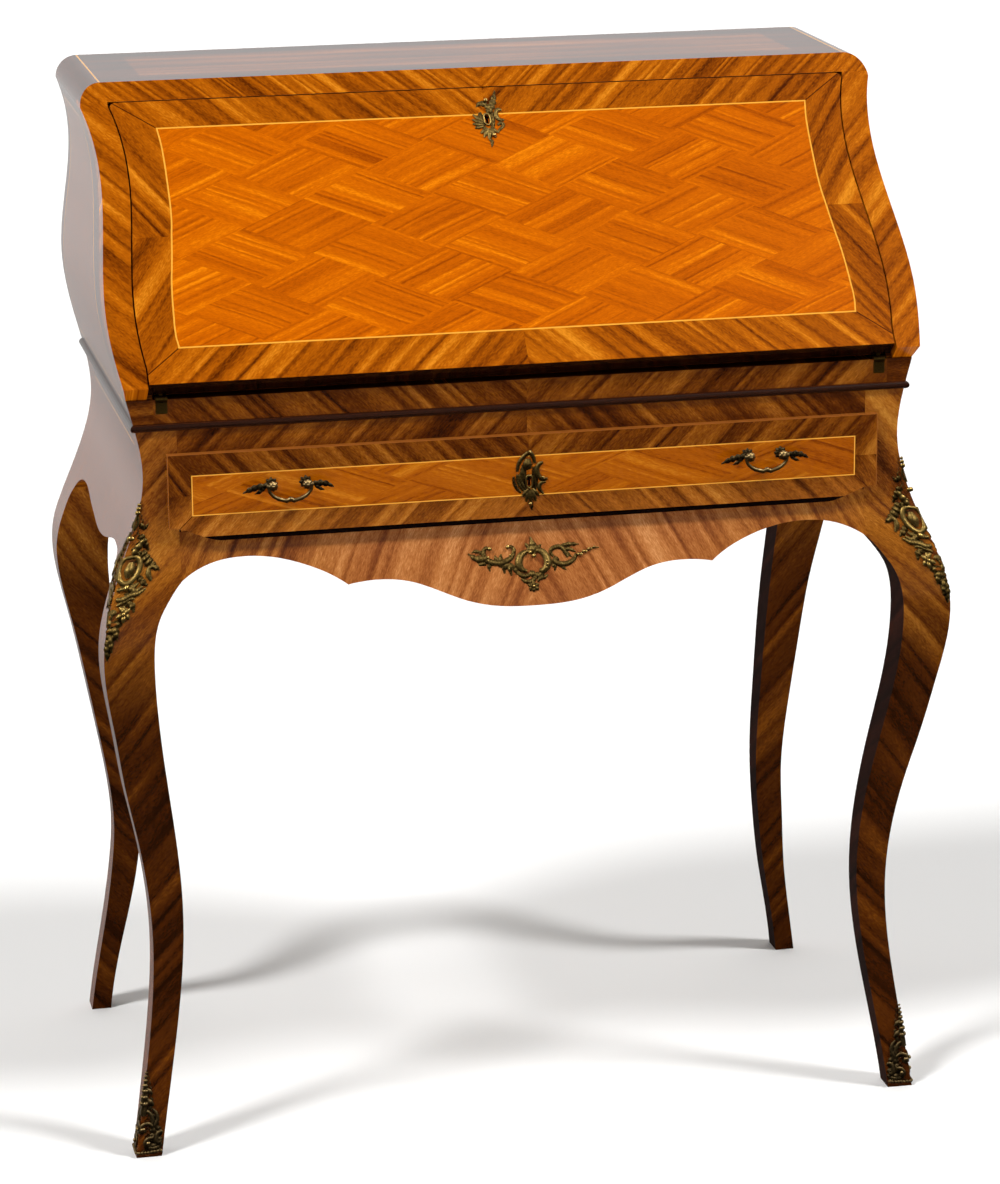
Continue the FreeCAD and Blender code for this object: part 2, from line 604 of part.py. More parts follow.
swell = (s.case_depth, s.back_swell_height)
heel_knee = (s.case_depth + s.back_knee_reach, s.back_knee_height)
heel_ankle = (s.case_depth - s.back_ankle_reach, s.ankle_height)
heel_foot = (s.case_depth + s.back_foot_reach, 0)
heel_points = [swell] + span(swell, BACK_SWELL_SHARES, heel_knee) + span(heel_knee, BACK_REAR_LEG_SHARES, heel_ankle)
heel_points += span(heel_ankle, BACK_REAR_FOOT_SHARES, heel_foot)
heel_edge = smooth(heel_points, side_view).toShape()
back_post_face = Vector(0, s.case_depth - s.back_post_depth, s.stand_height)
back_post_back = Vector(0, s.case_depth, s.stand_height)
back_side_outline = closed_face([
    face_edge, heel_edge, line(low_end(face_edge), low_end(heel_edge)), line(high_end(face_edge), back_post_face),
    line(back_post_face, back_post_back), line(back_post_back, high_end(heel_edge)),
])
back_from_front = pushed("back_leg_front", back_outline, Vector(0, 1, 0), "case_depth - back_post_depth - overrun", "case_depth + back_foot_reach + overrun")
back_from_side = pushed("back_leg_side", back_side_outline, Vector(1, 0, 0), "0", "knee_half_width + overrun")
back_leg_right = node(common("back_leg_right", back_from_front, back_from_side))
mirrored("back_leg_left", back_leg_right)

# Aprons. The front one follows the swell of the knees and its lower edge runs in arches to a drop in the
# middle; the side ones follow the side curve

arch = (s.apron_arch_half_width, s.apron_arch_height)
cusp = (s.apron_cusp_half_width, s.apron_cusp_height)
drop = (0, s.apron_drop_height)
arch_edge = smooth([post_foot] + span(post_foot, APRON_ARCH_SHARES, arch) + span(arch, APRON_CUSP_SHARES, cusp), front_view)
drop_points = [cusp] + span(cusp, APRON_DROP_SHARES, drop)
drop_points += [(-x, z) for x, z in reversed(drop_points[:-1])]
drop_edge = smooth(drop_points, front_view).toShape()
right_arch = arch_edge.toShape()
left_arch = right_arch.mirror(Vector(0, 0, 0), Vector(1, 0, 0))
apron_top = [Vector(side * s.opening_half_width, 0, s.opening_bottom) for side in (1, -1)]
apron_ends = [Vector(side * s.opening_half_width, 0, s.spandrel_height) for side in (1, -1)]
apron_outline = closed_face([
    right_arch, drop_edge, left_arch, line(apron_ends[0], apron_top[0]), line(apron_top[0], apron_top[1]),
    line(apron_top[1], apron_ends[1]),
])
apron_face = stretch(front_curve, s.apron_drop_height - s.overrun, s.bulge_top_height)
apron_rear = shifted(apron_face, 0, s.apron_thickness, 0)
face_top = Vector(0, 0, s.opening_bottom)
rear_top = Vector(0, s.apron_thickness, s.opening_bottom)
apron_section = closed_face([
    apron_face, apron_rear, line(low_end(apron_face), low_end(apron_rear)), line(high_end(apron_face), face_top),
    line(face_top, rear_top), line(rear_top, high_end(apron_rear)),
])
apron_from_front = pushed("apron_front", apron_outline, Vector(0, 1, 0), "0 - knee_front - overrun", "apron_thickness + overrun")
apron_from_side = pushed("apron_side", apron_section, Vector(1, 0, 0), "0 - opening_half_width", "opening_half_width")
node(common("front_apron", apron_from_front, apron_from_side))

side_length = s.case_depth - s.back_post_depth - s.front_post_depth
side_points = [(s.front_post_depth, s.side_arch_front_height)]
side_points += [
    (s.front_post_depth + side_length * a, mix(s.side_drop_height, s.side_arch_height, b)) for a, b in SIDE_EDGE_SHARES
]
side_points += [(s.case_depth - s.back_post_depth, s.side_arch_back_height)]
side_edge = smooth(side_points, side_view).toShape()
side_corners = [
    Vector(0, s.case_depth - s.back_post_depth, s.stand_height), Vector(0, s.front_post_depth, s.stand_height),
]
side_face = closed_face([
    side_edge, line(side_view(side_points[-1]), side_corners[0]), line(side_corners[0], side_corners[1]),
    line(side_corners[1], side_view(side_points[0])),
])
side_outer = stretch(side_curve, s.side_arch_back_height - s.overrun, s.stand_height)
side_section = face_between(side_outer, shifted(side_outer, -s.side_apron_thickness, 0, 0))
side_from_side = pushed("side_apron_side", side_face, Vector(1, 0, 0), "0", "knee_half_width + overrun")
side_from_front = pushed("side_apron_front", side_section, Vector(0, 1, 0), "front_post_depth", "case_depth - back_post_depth")
side_apron_right = node(common("side_apron_right", side_from_side, side_from_front))
mirrored("side_apron_left", side_apron_right)
OPENING = ("0 - opening_half_width", "opening_half_width")
node(board("back_apron", OPENING, ("case_depth - back_apron_thickness", "case_depth"), ("back_apron_height", "stand_height")))

# Frame of the long drawer: rail above it, runners with side guides under it, kickers over its sides

bolt_slot = (-s.bolt_half_width - s.bolt_play, s.bolt_half_width + s.bolt_play)
drawer_bolt_middle = s.drawer_front_inset - s.lock_thickness / 2
drawer_bolt_slot = [drawer_bolt_middle + side * (s.bolt_thickness / 2 + s.bolt_play) for side in (-1, 1)]
strike_slot = (-s.bolt_half_width - s.strike_play, s.bolt_half_width + s.strike_play)
strike_half = s.bolt_thickness / 2 + s.strike_play
STRIKE_TOP = "opening_top + bolt_throw + strike_play"
strike_top = s.opening_top + s.bolt_throw + s.strike_play
rail_head = board("rail_head", OPENING, ("0", "hinge_rail_depth"), (STRIKE_TOP, "stand_height"))
beside_strike = ("bolt_half_width + strike_play", "opening_half_width")
rail_right = board("rail_right", beside_strike, ("0", "hinge_rail_depth"), ("opening_top", STRIKE_TOP))
rail_left = add("Mirroring", "rail_left", Source=rail_right, Normal=Vector(1, 0, 0))
rail_lip = block(strike_slot, (0, drawer_bolt_middle - strike_half), (s.opening_top, strike_top))
rail_heel = block(strike_slot, (drawer_bolt_middle + strike_half, s.hinge_rail_depth), (s.opening_top, strike_top))
strike_sides = (shape("rail_lip", rail_lip), shape("rail_heel", rail_heel))
node(group("drawer_rail", rail_head, rail_right, rail_left, *strike_sides))

runner = board("runner_right", ("opening_half_width - runner_width", "opening_half_width"), ("apron_thickness", "case_depth - back_apron_thickness"), ("opening_bottom - runner_thickness", "opening_bottom"))
guide = board("guide_right", ("opening_half_width", "opening_half_width + guide_thickness"), ("front_post_depth", "case_depth - back_post_depth"), ("opening_bottom - runner_thickness", "opening_bottom + guide_height"))
kicker = board("kicker_right", ("opening_half_width - kicker_width", "opening_half_width"), ("hinge_rail_depth", "case_depth - back_apron_thickness"), ("drawer_wall_top + runner_play", "drawer_wall_top + runner_play + kicker_thickness"))
right_guides = group("guides_right", runner, guide, kicker)
left_guides = add("Mirroring", "guides_left", Source=right_guides, Normal=Vector(1, 0, 0))
node(group("drawer_guides", right_guides, left_guides))

# Desk box: cheeks, top, rails, floor and back

case_edge = stretch(side_curve, s.stand_height, shoulder[1])
round_middle = Vector(s.shoulder_half_width - s.shoulder_radius, 0, shoulder[1])


def round_place(height):
    """A place on the rounded end of the top board, from its height above the middle of that arc."""
    return round_middle + Vector(math.sqrt(s.shoulder_radius ** 2 - height ** 2), 0, height)


round_share = 0.5
under = s.shoulder_radius - s.top_thickness
low_round = Part.Arc(round_place(0), round_place(under * round_share), round_place(under)).toShape()
high_round = Part.Arc(round_place(under), round_place(mix(under, s.shoulder_radius, round_share)), round_place(s.shoulder_radius)).toShape()


def case_outline(inner):
    """Half of the desk box seen from the front, from its lower joint up to the top board."""
    foot_place = Vector(inner, 0, s.stand_height)
    head_place = Vector(inner, 0, top_under)
    return closed_face([
        case_edge, low_round, line(foot_place, low_end(case_edge)), line(foot_place, head_place),
        line(head_place, high_end(low_round)),
    ])


cheek_face = polygon_face([
    (0, s.stand_height), (0, s.writing_height), slope_point(0, 0), slope_point(reach_at(top_under, 0), 0),
    (s.case_depth, top_under), (s.case_depth, s.stand_height),
], side_view)
cheek_from_front = pushed("cheek_front", case_outline(s.inner_half_width), Vector(0, 1, 0), "0 - overrun", "case_depth + overrun")
cheek_from_side = pushed("cheek_side", cheek_face, Vector(1, 0, 0), "0", "knee_half_width + overrun")
cheek_right = node(common("cheek_right", cheek_from_front, cheek_from_side))
mirrored("cheek_left", cheek_right)

top_outline = closed_face([
    high_round, high_round.mirror(Vector(0, 0, 0), Vector(1, 0, 0)), line(round_place(under), Vector(-round_place(under).x, 0, top_under)),
    line(round_place(s.shoulder_radius), Vector(-round_place(s.shoulder_radius).x, 0, s.overall_height)),
])
bevel_foot = slope_point(reach_at(top_under, s.slope_thickness), s.slope_thickness)
bevel_head = slope_point(reach_at(s.overall_height, s.slope_thickness), s.slope_thickness)
top_section = polygon_face([bevel_foot, bevel_head, (s.case_depth, s.overall_height), (s.case_depth, top_under)], side_view)
top_from_front = pushed("top_front", top_outline, Vector(0, 1, 0), "0", "case_depth + overrun")
top_from_side = pushed("top_side", top_section, Vector(1, 0, 0), "0 - knee_half_width", "knee_half_width")
node(common("top_board", top_from_front, top_from_side))

fall_top = reach_at(top_under - s.fall_top_gap, s.slope_thickness)
rail_reach = fall_top + s.fall_top_gap
rail_under = top_under - s.lock_rail_height
rail_front = slope_point(reach_at(rail_under, 0), 0)
rail_back = rail_front[0] + s.lock_rail_depth
lock_rail_section = polygon_face([
    rail_front, slope_point(reach_at(top_under, 0), 0), (rail_back, top_under), (rail_back, rail_under),
], side_view)
nose_rise = (top_under - slope_point(rail_reach, 0)[1]) / math.cos(slope)
nose_section = polygon_face([
    slope_point(rail_reach, 0), slope_point(rail_reach, nose_rise), slope_point(reach_at(top_under, 0), 0),
], side_view)
fall_bolt_middle = s.fall_rest_gap + s.lock_thickness / 2
fall_bolt_slot = [fall_bolt_middle + side * (s.bolt_thickness / 2 + s.bolt_play) for side in (-1, 1)]
lock_rail_solid = pushed("lock_rail_solid", lock_rail_section, Vector(1, 0, 0), "0 - inner_half_width", "inner_half_width")
right_nose = pushed("nose_right", nose_section, Vector(1, 0, 0), "bolt_half_width + strike_play", "inner_half_width")
left_nose = add("Mirroring", "nose_left", Source=right_nose, Normal=Vector(1, 0, 0))
node(group("lock_rail", lock_rail_solid, right_nose, left_nose))

INSIDE = ("0 - inner_half_width", "inner_half_width")
hinge_half = s.hinge_knuckle_length * 3 / 2 + s.knuckle_gap
pocket_radius = s.knuckle_radius + s.seat_clearance
pocket = rod((s.hinge_half_width - hinge_half, s.pivot_setback, s.writing_height), (s.hinge_half_width + hinge_half, s.pivot_setback, s.writing_height), pocket_radius)
leaf_span = (s.hinge_half_width - hinge_half, s.hinge_half_width + hinge_half)
leaf_seat = block(leaf_span, (-s.overrun, s.leaf_thickness), (s.writing_height - s.leaf_length, s.writing_height))
hinge_board = board("hinge_rail_board", INSIDE, ("0", "hinge_rail_depth"), ("stand_height", "writing_height"))
node(cut("hinge_rail", hinge_board, shape("hinge_seats", both_sides(pocket.fuse(leaf_seat)))))
BACK_INSIDE = "case_depth - back_rebate - upper_back_thickness"
node(board("writing_floor", INSIDE, ("hinge_rail_depth", BACK_INSIDE), ("writing_height - floor_thickness", "writing_height")))
node(board("upper_back", INSIDE, (BACK_INSIDE, "case_depth - back_rebate"), ("stand_height", "overall_height - top_thickness")))

# Stiles beside the fall, flush with the cheeks outside and with an edge square to the slope inside. The
# edge of the fall repeats it: below its straight reach the fall would catch on the stile as it swings


def slope_edge(setin, low, high):
    """The side curve laid on the slope's outer face and moved inwards, between two reaches."""
    moved = side_curve.copy()
    ends = [parameter_at(moved, slope_base.z + reach * math.sin(slope)) for reach in (low, high)]
    moved.segment(min(ends), max(ends))
    poles = [Vector(p.x - setin, (p.z - slope_base.z) / math.sin(slope), 0) for p in moved.getPoles()]
    drawn = Part.BSplineCurve()
    drawn.buildFromPolesMultsKnots(poles, moved.getMultiplicities(), moved.getKnots(), False, moved.Degree)
    return drawn.toShape()


shoulder_reach = reach_at(shoulder[1], s.slope_thickness)
stile_edge = slope_edge(s.stile_width, s.fall_straight_reach, shoulder_reach)
stile_low = min((v.Point for v in stile_edge.Vertexes), key=lambda p: p.y)
stile_high = max((v.Point for v in stile_edge.Vertexes), key=lambda p: p.y)
stile_foot = Vector(stile_low.x, 0, 0)
stile_head = Vector(stile_high.x, reach_at(s.overall_height, 0), 0)
stile_corners = [Vector(s.knee_half_width, stile_head.y, 0), Vector(s.knee_half_width, 0, 0)]
stile_strip = closed_face([
    stile_edge, line(stile_high, stile_head), line(stile_head, stile_corners[0]), line(stile_corners[0], stile_corners[1]),
    line(stile_corners[1], stile_foot), line(stile_foot, stile_low),
])
stile_slab = shape("stile_slab", on_slope(stile_strip.extrude(Vector(0, 0, s.slope_thickness))))
stile_block = pushed("stile_block", case_outline(0), Vector(0, 1, 0), "0 - knee_half_width", "case_depth")
stile_right = node(common("stile_right", stile_slab, stile_block))
mirrored("stile_left", stile_right)

# Half-round waist moulding over the joint between stand and desk box, mitred at the front corners

waist_edge = half_width_at(s.moulding_height)
tip = s.moulding_radius + s.overrun
core = block((-waist_edge - tip, waist_edge + tip), (0, s.case_depth), (s.moulding_height - tip, s.moulding_height + tip))
moulding_block = pushed("moulding_block", case_outline(0), Vector(0, 1, 0), "0", "case_depth")
front_roll = rod((-waist_edge - tip, 0, s.moulding_height), (waist_edge + tip, 0, s.moulding_height), s.moulding_radius)
front_wedge = polygon_face([(-waist_edge, 0), (-waist_edge - tip, -tip), (waist_edge + tip, -tip), (waist_edge, 0)], plan_view)
side_roll = rod((waist_edge, -tip, s.moulding_height), (waist_edge, s.case_depth, s.moulding_height), s.moulding_radius)
side_wedge = polygon_face([
    (0, 0), (waist_edge, 0), (waist_edge + tip, -tip), (waist_edge + tip, s.case_depth), (0, s.case_depth),
], plan_view)
level = Vector(0, 0, s.stand_height - s.moulding_radius * 2)
lift = Vector(0, 0, s.moulding_height)
front_moulding = front_roll.common(front_wedge.translated(level).extrude(lift)).cut(core)
half_core = stretch(side_curve, s.stand_height - tip, s.writing_height)
half_section = closed_face([
    half_core, line(low_end(half_core), Vector(0, 0, low_end(half_core).z)), line(high_end(half_core), Vector(0, 0, high_end(half_core).z)),
    line(Vector(0, 0, low_end(half_core).z), Vector(0, 0, high_end(half_core).z)),
])
half_block = half_section.extrude(Vector(0, s.case_depth, 0))
side_moulding = side_roll.common(side_wedge.translated(level).extrude(lift)).cut(half_block)
left_moulding = side_moulding.mirror(Vector(0, 0, 0), Vector(1, 0, 0))
node(shape("waist_moulding", Part.makeCompound([front_moulding, side_moulding, left_moulding])))

# Nest behind the fall: two sides, a shelf, dividers between the small drawers and partitions above them

NEST_OUT = "inner_half_width - stay_lane"
NEST_IN = "inner_half_width - stay_lane - nest_board"
NEST_DEPTH = ("nest_front", BACK_INSIDE)
TOP_UNDER = "overall_height - top_thickness"
SHELF = "writing_height + nest_shelf_height"
nest_side = board("nest_side_right", (NEST_IN, NEST_OUT), NEST_DEPTH, ("writing_height", TOP_UNDER))
other_side = board("nest_side_left", ("0 - (%s)" % NEST_OUT, "0 - (%s)" % NEST_IN), NEST_DEPTH, ("writing_height", TOP_UNDER))
node(group("nest_sides", nest_side, other_side))
node(board("nest_shelf", ("0 - (%s)" % NEST_IN, NEST_IN), NEST_DEPTH, (SHELF, SHELF + " + nest_board")))
uprights = []
for side, sign in (("left", "0 - "), ("right", "")):
    low = "%snest_divider_offset - nest_board / 2" % sign
    high = "%snest_divider_offset + nest_board / 2" % sign
    uprights.append(board("nest_divider_" + side, (low, high), NEST_DEPTH, ("writing_height", SHELF)))
    uprights.append(board("nest_partition_" + side, (low, high), NEST_DEPTH, (SHELF + " + nest_board", TOP_UNDER)))
node(group("nest_uprights", *uprights))

# Three small drawers: a front, a box behind it and a turned knob

BAYS = {
    "left": ("0 - (%s)" % NEST_IN, "0 - nest_divider_offset - nest_board / 2"),
    "middle": ("nest_board / 2 - nest_divider_offset", "nest_divider_offset - nest_board / 2"),
    "right": ("nest_divider_offset + nest_board / 2", NEST_IN),
}
nest_in = s.inner_half_width - s.stay_lane - s.nest_board
divider = (s.nest_divider_offset - s.nest_board / 2, s.nest_divider_offset + s.nest_board / 2)
BAY_PLACES = {"left": (-nest_in, -divider[1]), "middle": (-divider[0], divider[0]), "right": (divider[1], nest_in)}
small_low = s.writing_height + s.seat_clearance
small_high = s.writing_height + s.nest_shelf_height - s.small_drawer_gap
small_back = back_inside - s.small_drawer_gap
for bay, (low, high) in BAYS.items():
    front_x = (low + " + small_drawer_gap", high + " - small_drawer_gap")
    front_z = ("writing_height + seat_clearance", SHELF + " - small_drawer_gap")
    node(board("small_drawer_front_" + bay, front_x, ("nest_front", "nest_front + small_drawer_front"), front_z))
    start, end = BAY_PLACES[bay]
    start, end = start + s.small_drawer_gap, end - s.small_drawer_gap
    outer = block((start, end), (s.nest_front + s.small_drawer_front, small_back), (small_low, small_high))
    hollow = block(
        (start + s.small_drawer_wall, end - s.small_drawer_wall),
        (s.nest_front + s.small_drawer_front - s.overrun, small_back - s.small_drawer_wall),
        (small_low + s.small_drawer_bottom, small_high + s.overrun),
    )
    node(shape("small_drawer_box_" + bay, outer.cut(hollow)))


# Half the outline of a knob: shares of the stem's or the head's radius and of the knob's length
KNOB_SHARES = [
    ("knob_stem_radius", 0.0, 0.0), ("knob_stem_radius", 1.0, 0.0), ("knob_stem_radius", 1.0, 0.35),
    ("knob_radius", 1.0, 0.58), ("knob_radius", 1.0, 0.74), ("knob_radius", 0.72, 0.93),
    ("knob_radius", 0.3, 1.0), ("knob_radius", 0.0, 1.0),
]


def knob_body(name, bay):
    """A turned knob: half of its outline is a sketch, revolved about the knob's own axis."""
    body = doc.addObject("PartDesign::Body", name)
    sketch = body.newObject("Sketcher::SketchObject", name + "_outline")
    plane = [feature for feature in body.Origin.OriginFeatures if feature.Role == "XY_Plane"][0]
    sketch.AttachmentSupport = [(plane, "")]
    sketch.MapMode = "FlatFace"
    corners = [Vector(getattr(s, radius) * a, s.knob_length * b, 0) for radius, a, b in KNOB_SHARES]
    for k, corner in enumerate(corners):
        sketch.addGeometry(Part.LineSegment(corner, corners[(k + 1) % len(corners)]), False)
    for k, (radius, a, b) in enumerate(KNOB_SHARES):
        sketch.addConstraint(Sketcher.Constraint("Coincident", k, 2, (k + 1) % len(corners), 1))
        for kind, share, size, axis in (("DistanceX", a, radius, -2), ("DistanceY", b, "knob_length", -1)):
            if share:
                value = getattr(s, size) * share
                index = sketch.addConstraint(Sketcher.Constraint(kind, -1, 1, k, 1, value))
                sketch.setExpression("Constraints[%d]" % index, "sizes.%s * %s" % (size, share))
            else:
                sketch.addConstraint(Sketcher.Constraint("PointOnObject", k, 1, axis))
    turned = body.newObject("PartDesign::Revolution", name + "_turned")
    turned.Profile = sketch
    turned.ReferenceAxis = (sketch, ["V_Axis"])
    start, end = BAY_PLACES[bay]
    place = Vector((start + end) / 2, s.nest_front - setback, (small_low + small_high) / 2)
    body.Placement = Placement(place, Rotation(Vector(0, 0, 1), 180))
    NODES.append(body)


for bay in BAYS:
    knob_body("small_drawer_knob_" + bay, bay)

# Fall: board, leather, lock, key plate, hinges and the brackets of the stays

corner_reach = min(shoulder_reach, fall_top - s.fall_corner_radius)
swing_edge = slope_edge(s.stile_width + s.fall_side_gap, s.fall_straight_reach, corner_reach)
swing_low = min((v.Point for v in swing_edge.Vertexes), key=lambda p: p.y)
swing_high = max((v.Point for v in swing_edge.Vertexes), key=lambda p: p.y)
fall_foot = Vector(swing_low.x, s.hinge_gap, 0)
corner_head = Vector(swing_high.x - s.fall_corner_radius, fall_top, 0)
corner_mid = Vector(corner_head.x, swing_high.y, 0) + Vector(1, 1, 0).normalize() * s.fall_corner_radius
half_outline = [line(fall_foot, swing_low), swing_edge, Part.Arc(swing_high, corner_mid, corner_head).toShape()]
other_half = [edge.mirror(Vector(0, 0, 0), Vector(1, 0, 0)) for edge in half_outline]
fall_face = closed_face(half_outline + other_half + [
    line(fall_foot, Vector(-fall_foot.x, fall_foot.y, 0)), line(corner_head, Vector(-corner_head.x, corner_head.y, 0)),
])
fall_face.translate(Vector(0, 0, s.fall_rest_gap))
fall_solid = fall_face.extrude(Vector(0, 0, s.slope_thickness - s.fall_rest_gap))
skiver = ((-s.skiver_half_width, s.skiver_half_width), (s.skiver_low, s.skiver_high))
skiver_solid = block(skiver[0], skiver[1], (s.fall_rest_gap, s.fall_rest_gap + s.skiver_thickness))
lock_x = (-s.lock_half_width, s.lock_half_width)
lock_up = (fall_top - s.lock_drop, fall_top)
lock_deep = (s.fall_rest_gap, s.fall_rest_gap + s.lock_thickness)
lock_solid = block(lock_x, lock_up, lock_deep)
bolt_top = fall_top - s.bolt_setback
lock_slot = block(bolt_slot, (bolt_top - s.bolt_length - s.bolt_play, fall_top + s.overrun), fall_bolt_slot)
fall_keyhole = keyhole(0, s.keyhole_slope, lock_deep[1], s.slope_thickness + s.overrun)
fall_leaf_seat = block(leaf_span, (s.hinge_gap, s.hinge_gap + s.leaf_length), (s.fall_rest_gap, s.fall_rest_gap + s.leaf_thickness))
fall_solid = fall_solid.cut([skiver_solid, lock_solid, fall_keyhole, both_sides(fall_leaf_seat)])
slope_node("fall_board", fall_solid)
slope_node("fall_leather", skiver_solid)
slope_node("fall_lock", lock_solid.cut(lock_slot))
bolt_deep = [fall_bolt_middle + side * s.bolt_thickness / 2 for side in (-1, 1)]
slope_node("fall_bolt", block((-s.bolt_half_width, s.bolt_half_width), (bolt_top - s.bolt_length, bolt_top), bolt_deep))


def key_plate(side, height):
    """A cast key plate seen from the front, with its keyhole; side 1 leans right and -1 leans left."""
    middle = height - s.escutcheon_height * ESCUTCHEON_RISE_SHARE
    points = [(side * a * s.escutcheon_width, middle + b * s.escutcheon_height) for a, b in ESCUTCHEON_SHARES]
    plate = Part.Face(Part.Wire(smooth(points, plan_view, True).toShape()))
    return plate.extrude(Vector(0, 0, s.escutcheon_thickness)).cut(keyhole(0, height, -s.overrun, s.overrun))


slope_node("fall_escutcheon", key_plate(1, s.keyhole_slope).translated(Vector(0, 0, s.slope_thickness)))

knuckle_half = s.hinge_knuckle_length / 2
middle_knuckle = rod((s.hinge_half_width - knuckle_half, 0, 0), (s.hinge_half_width + knuckle_half, 0, 0), s.knuckle_radius)
leaf_deep = (s.fall_rest_gap, s.fall_rest_gap + s.leaf_thickness)
tongue = block((s.hinge_half_width - knuckle_half, s.hinge_half_width + knuckle_half), (0, s.hinge_gap + s.leaf_length), leaf_deep)
pin_hole = rod((s.hinge_half_width - s.overrun, 0, 0), (s.hinge_half_width + s.overrun, 0, 0), s.pin_radius + s.running_clearance)
fall_leaf = middle_knuckle.fuse([tongue, fall_leaf_seat]).removeSplitter().cut(pin_hole)
slope_node("fall_hinge_leaves", both_sides(fall_leaf))

# Hinge leaves let into the hinge rail, with two knuckles each and the pin

outer_knuckles = rod((leaf_span[0], s.pivot_setback, s.writing_height), (leaf_span[1], s.pivot_setback, s.writing_height), s.knuckle_radius)
gap_half = knuckle_half + s.knuckle_gap
knuckle_room = rod((s.hinge_half_width - gap_half, s.pivot_setback, s.writing_height), (s.hinge_half_width + gap_half, s.pivot_setback, s.writing_height), pocket_radius)
rail_leaf = outer_knuckles.fuse(block(leaf_span, (0, s.leaf_thickness), (s.writing_height - s.leaf_length, s.writing_height)))
pin_bore = rod((s.hinge_half_width - s.overrun, s.pivot_setback, s.writing_height), (s.hinge_half_width + s.overrun, s.pivot_setback, s.writing_height), s.pin_radius + s.running_clearance)
rail_leaf = rail_leaf.removeSplitter().cut(knuckle_room).cut(pin_bore)
pin = rod((leaf_span[0], s.pivot_setback, s.writing_height), (leaf_span[1], s.pivot_setback, s.writing_height), s.pin_radius)
node(shape("rail_hinge_leaves", both_sides(Part.makeCompound([rail_leaf, pin]))))

# Folding stays beside the nest. The arm on the cheek and the arm on the fall are joined at a knuckle;
# the fall's end of the stay is found from the closed and the open fall


def stay_end(angle):
    """The stay's pivot on the fall as (Y, Z) behind the hinge line, with the fall at an angle above level."""
    reach = Vector(0, math.cos(angle), math.sin(angle)) * s.stay_fall_reach
    return reach + Vector(0, math.sin(angle), -math.cos(angle)) * s.stay_fall_rise


stay_root = Vector(0, s.stay_cheek_reach, s.stay_cheek_rise)
stay_closed = stay_end(slope)
stay_total = (stay_end(math.pi) - stay_root).Length * STAY_SLACK_SHARE
lower_length = stay_total * STAY_LOWER_SHARE
upper_length = stay_total - lower_length
chord = stay_closed - stay_root
toward = (chord.Length ** 2 + lower_length ** 2 - upper_length ** 2) / (2 * chord.Length)
aside = math.sqrt(lower_length ** 2 - toward ** 2)
chord.normalize()
stay_knuckle = stay_root + chord * toward - Vector(0, -chord.z, chord.y) * aside
lower_angle = math.atan2((stay_knuckle - stay_root).z, (stay_knuckle - stay_root).y)
upper_angle = math.atan2((stay_closed - stay_knuckle).z, (stay_closed - stay_knuckle).y)

plate_in = s.inner_half_width - s.stay_plate_thickness
lower_x = (plate_in - s.seat_clearance - s.stay_arm_thickness, plate_in - s.seat_clearance)
upper_x = (lower_x[0] - s.seat_clearance - s.stay_arm_thickness, lower_x[0] - s.seat_clearance)
bracket_x = (upper_x[0] - s.seat_clearance - s.stay_plate_thickness, upper_x[0] - s.seat_clearance)
head_radius = s.stay_arm_width * STAY_HEAD_SHARE
rivet_hole = s.stay_rivet_radius + s.running_clearance


def arm(length, x):
    """A flat arm with round ends, lying along Y from its own pivot."""
    half = s.stay_arm_width / 2
    bar = block(x, (0, length), (-half, half))
    ends = [rod((x[0], y, 0), (x[1], y, 0), half) for y in (0, length)]
    return bar.fuse(ends).removeSplitter()


def bore(y, radius):
    return rod((bracket_x[0] - s.overrun, y, 0), (s.inner_half_width + s.overrun, y, 0), radius)


knuckle_rivet = rod((upper_x[0] - s.seat_clearance, lower_length, 0), (lower_x[1], lower_length, 0), s.stay_rivet_radius)
knuckle_head = rod((upper_x[0] - s.seat_clearance - s.stay_head_thickness, lower_length, 0), (upper_x[0] - s.seat_clearance, lower_length, 0), head_radius)
lower_arm = arm(lower_length, lower_x).cut(bore(0, rivet_hole)).fuse([knuckle_rivet, knuckle_head])
upper_arm = arm(upper_length, upper_x).cut(bore(0, rivet_hole))
for label, solid, root, angle in (
    ("stay_lower_right", lower_arm, stay_root, lower_angle), ("stay_upper_right", upper_arm, stay_knuckle, upper_angle),
):
    piece = shape(label, solid)
    piece.Placement = Placement(hinge_line + root - Vector(0, setback, 0), Rotation(Vector(1, 0, 0), math.degrees(angle)))
    NODES.append(piece)
    mirrored(label.replace("right", "left"), piece)

root_y, root_z = s.pivot_setback + s.stay_cheek_reach, s.writing_height + s.stay_cheek_rise
root_plate = rod((plate_in, root_y, root_z), (s.inner_half_width, root_y, root_z), s.stay_arm_width)
root_rivet = rod((lower_x[0] - s.seat_clearance, root_y, root_z), (plate_in, root_y, root_z), s.stay_rivet_radius)
root_head = rod((lower_x[0] - s.seat_clearance - s.stay_head_thickness, root_y, root_z), (lower_x[0] - s.seat_clearance, root_y, root_z), head_radius)
node(shape("stay_plates", both_sides(root_plate.fuse([root_rivet, root_head]))))
half_bracket = s.stay_arm_width
ear = block(bracket_x, (s.stay_fall_reach - half_bracket, s.stay_fall_reach + half_bracket), (-s.stay_fall_rise, s.fall_rest_gap))
ear_end = rod((bracket_x[0], s.stay_fall_reach, -s.stay_fall_rise), (bracket_x[1], s.stay_fall_reach, -s.stay_fall_rise), half_bracket)
ear_foot = block((bracket_x[0] - s.stay_fall_rise, bracket_x[1]), (s.stay_fall_reach - half_bracket, s.stay_fall_reach + half_bracket), (s.fall_rest_gap - s.stay_plate_thickness, s.fall_rest_gap))
eye = rod((bracket_x[0] - s.overrun, s.stay_fall_reach, -s.stay_fall_rise), (bracket_x[1] + s.overrun, s.stay_fall_reach, -s.stay_fall_rise), rivet_hole)
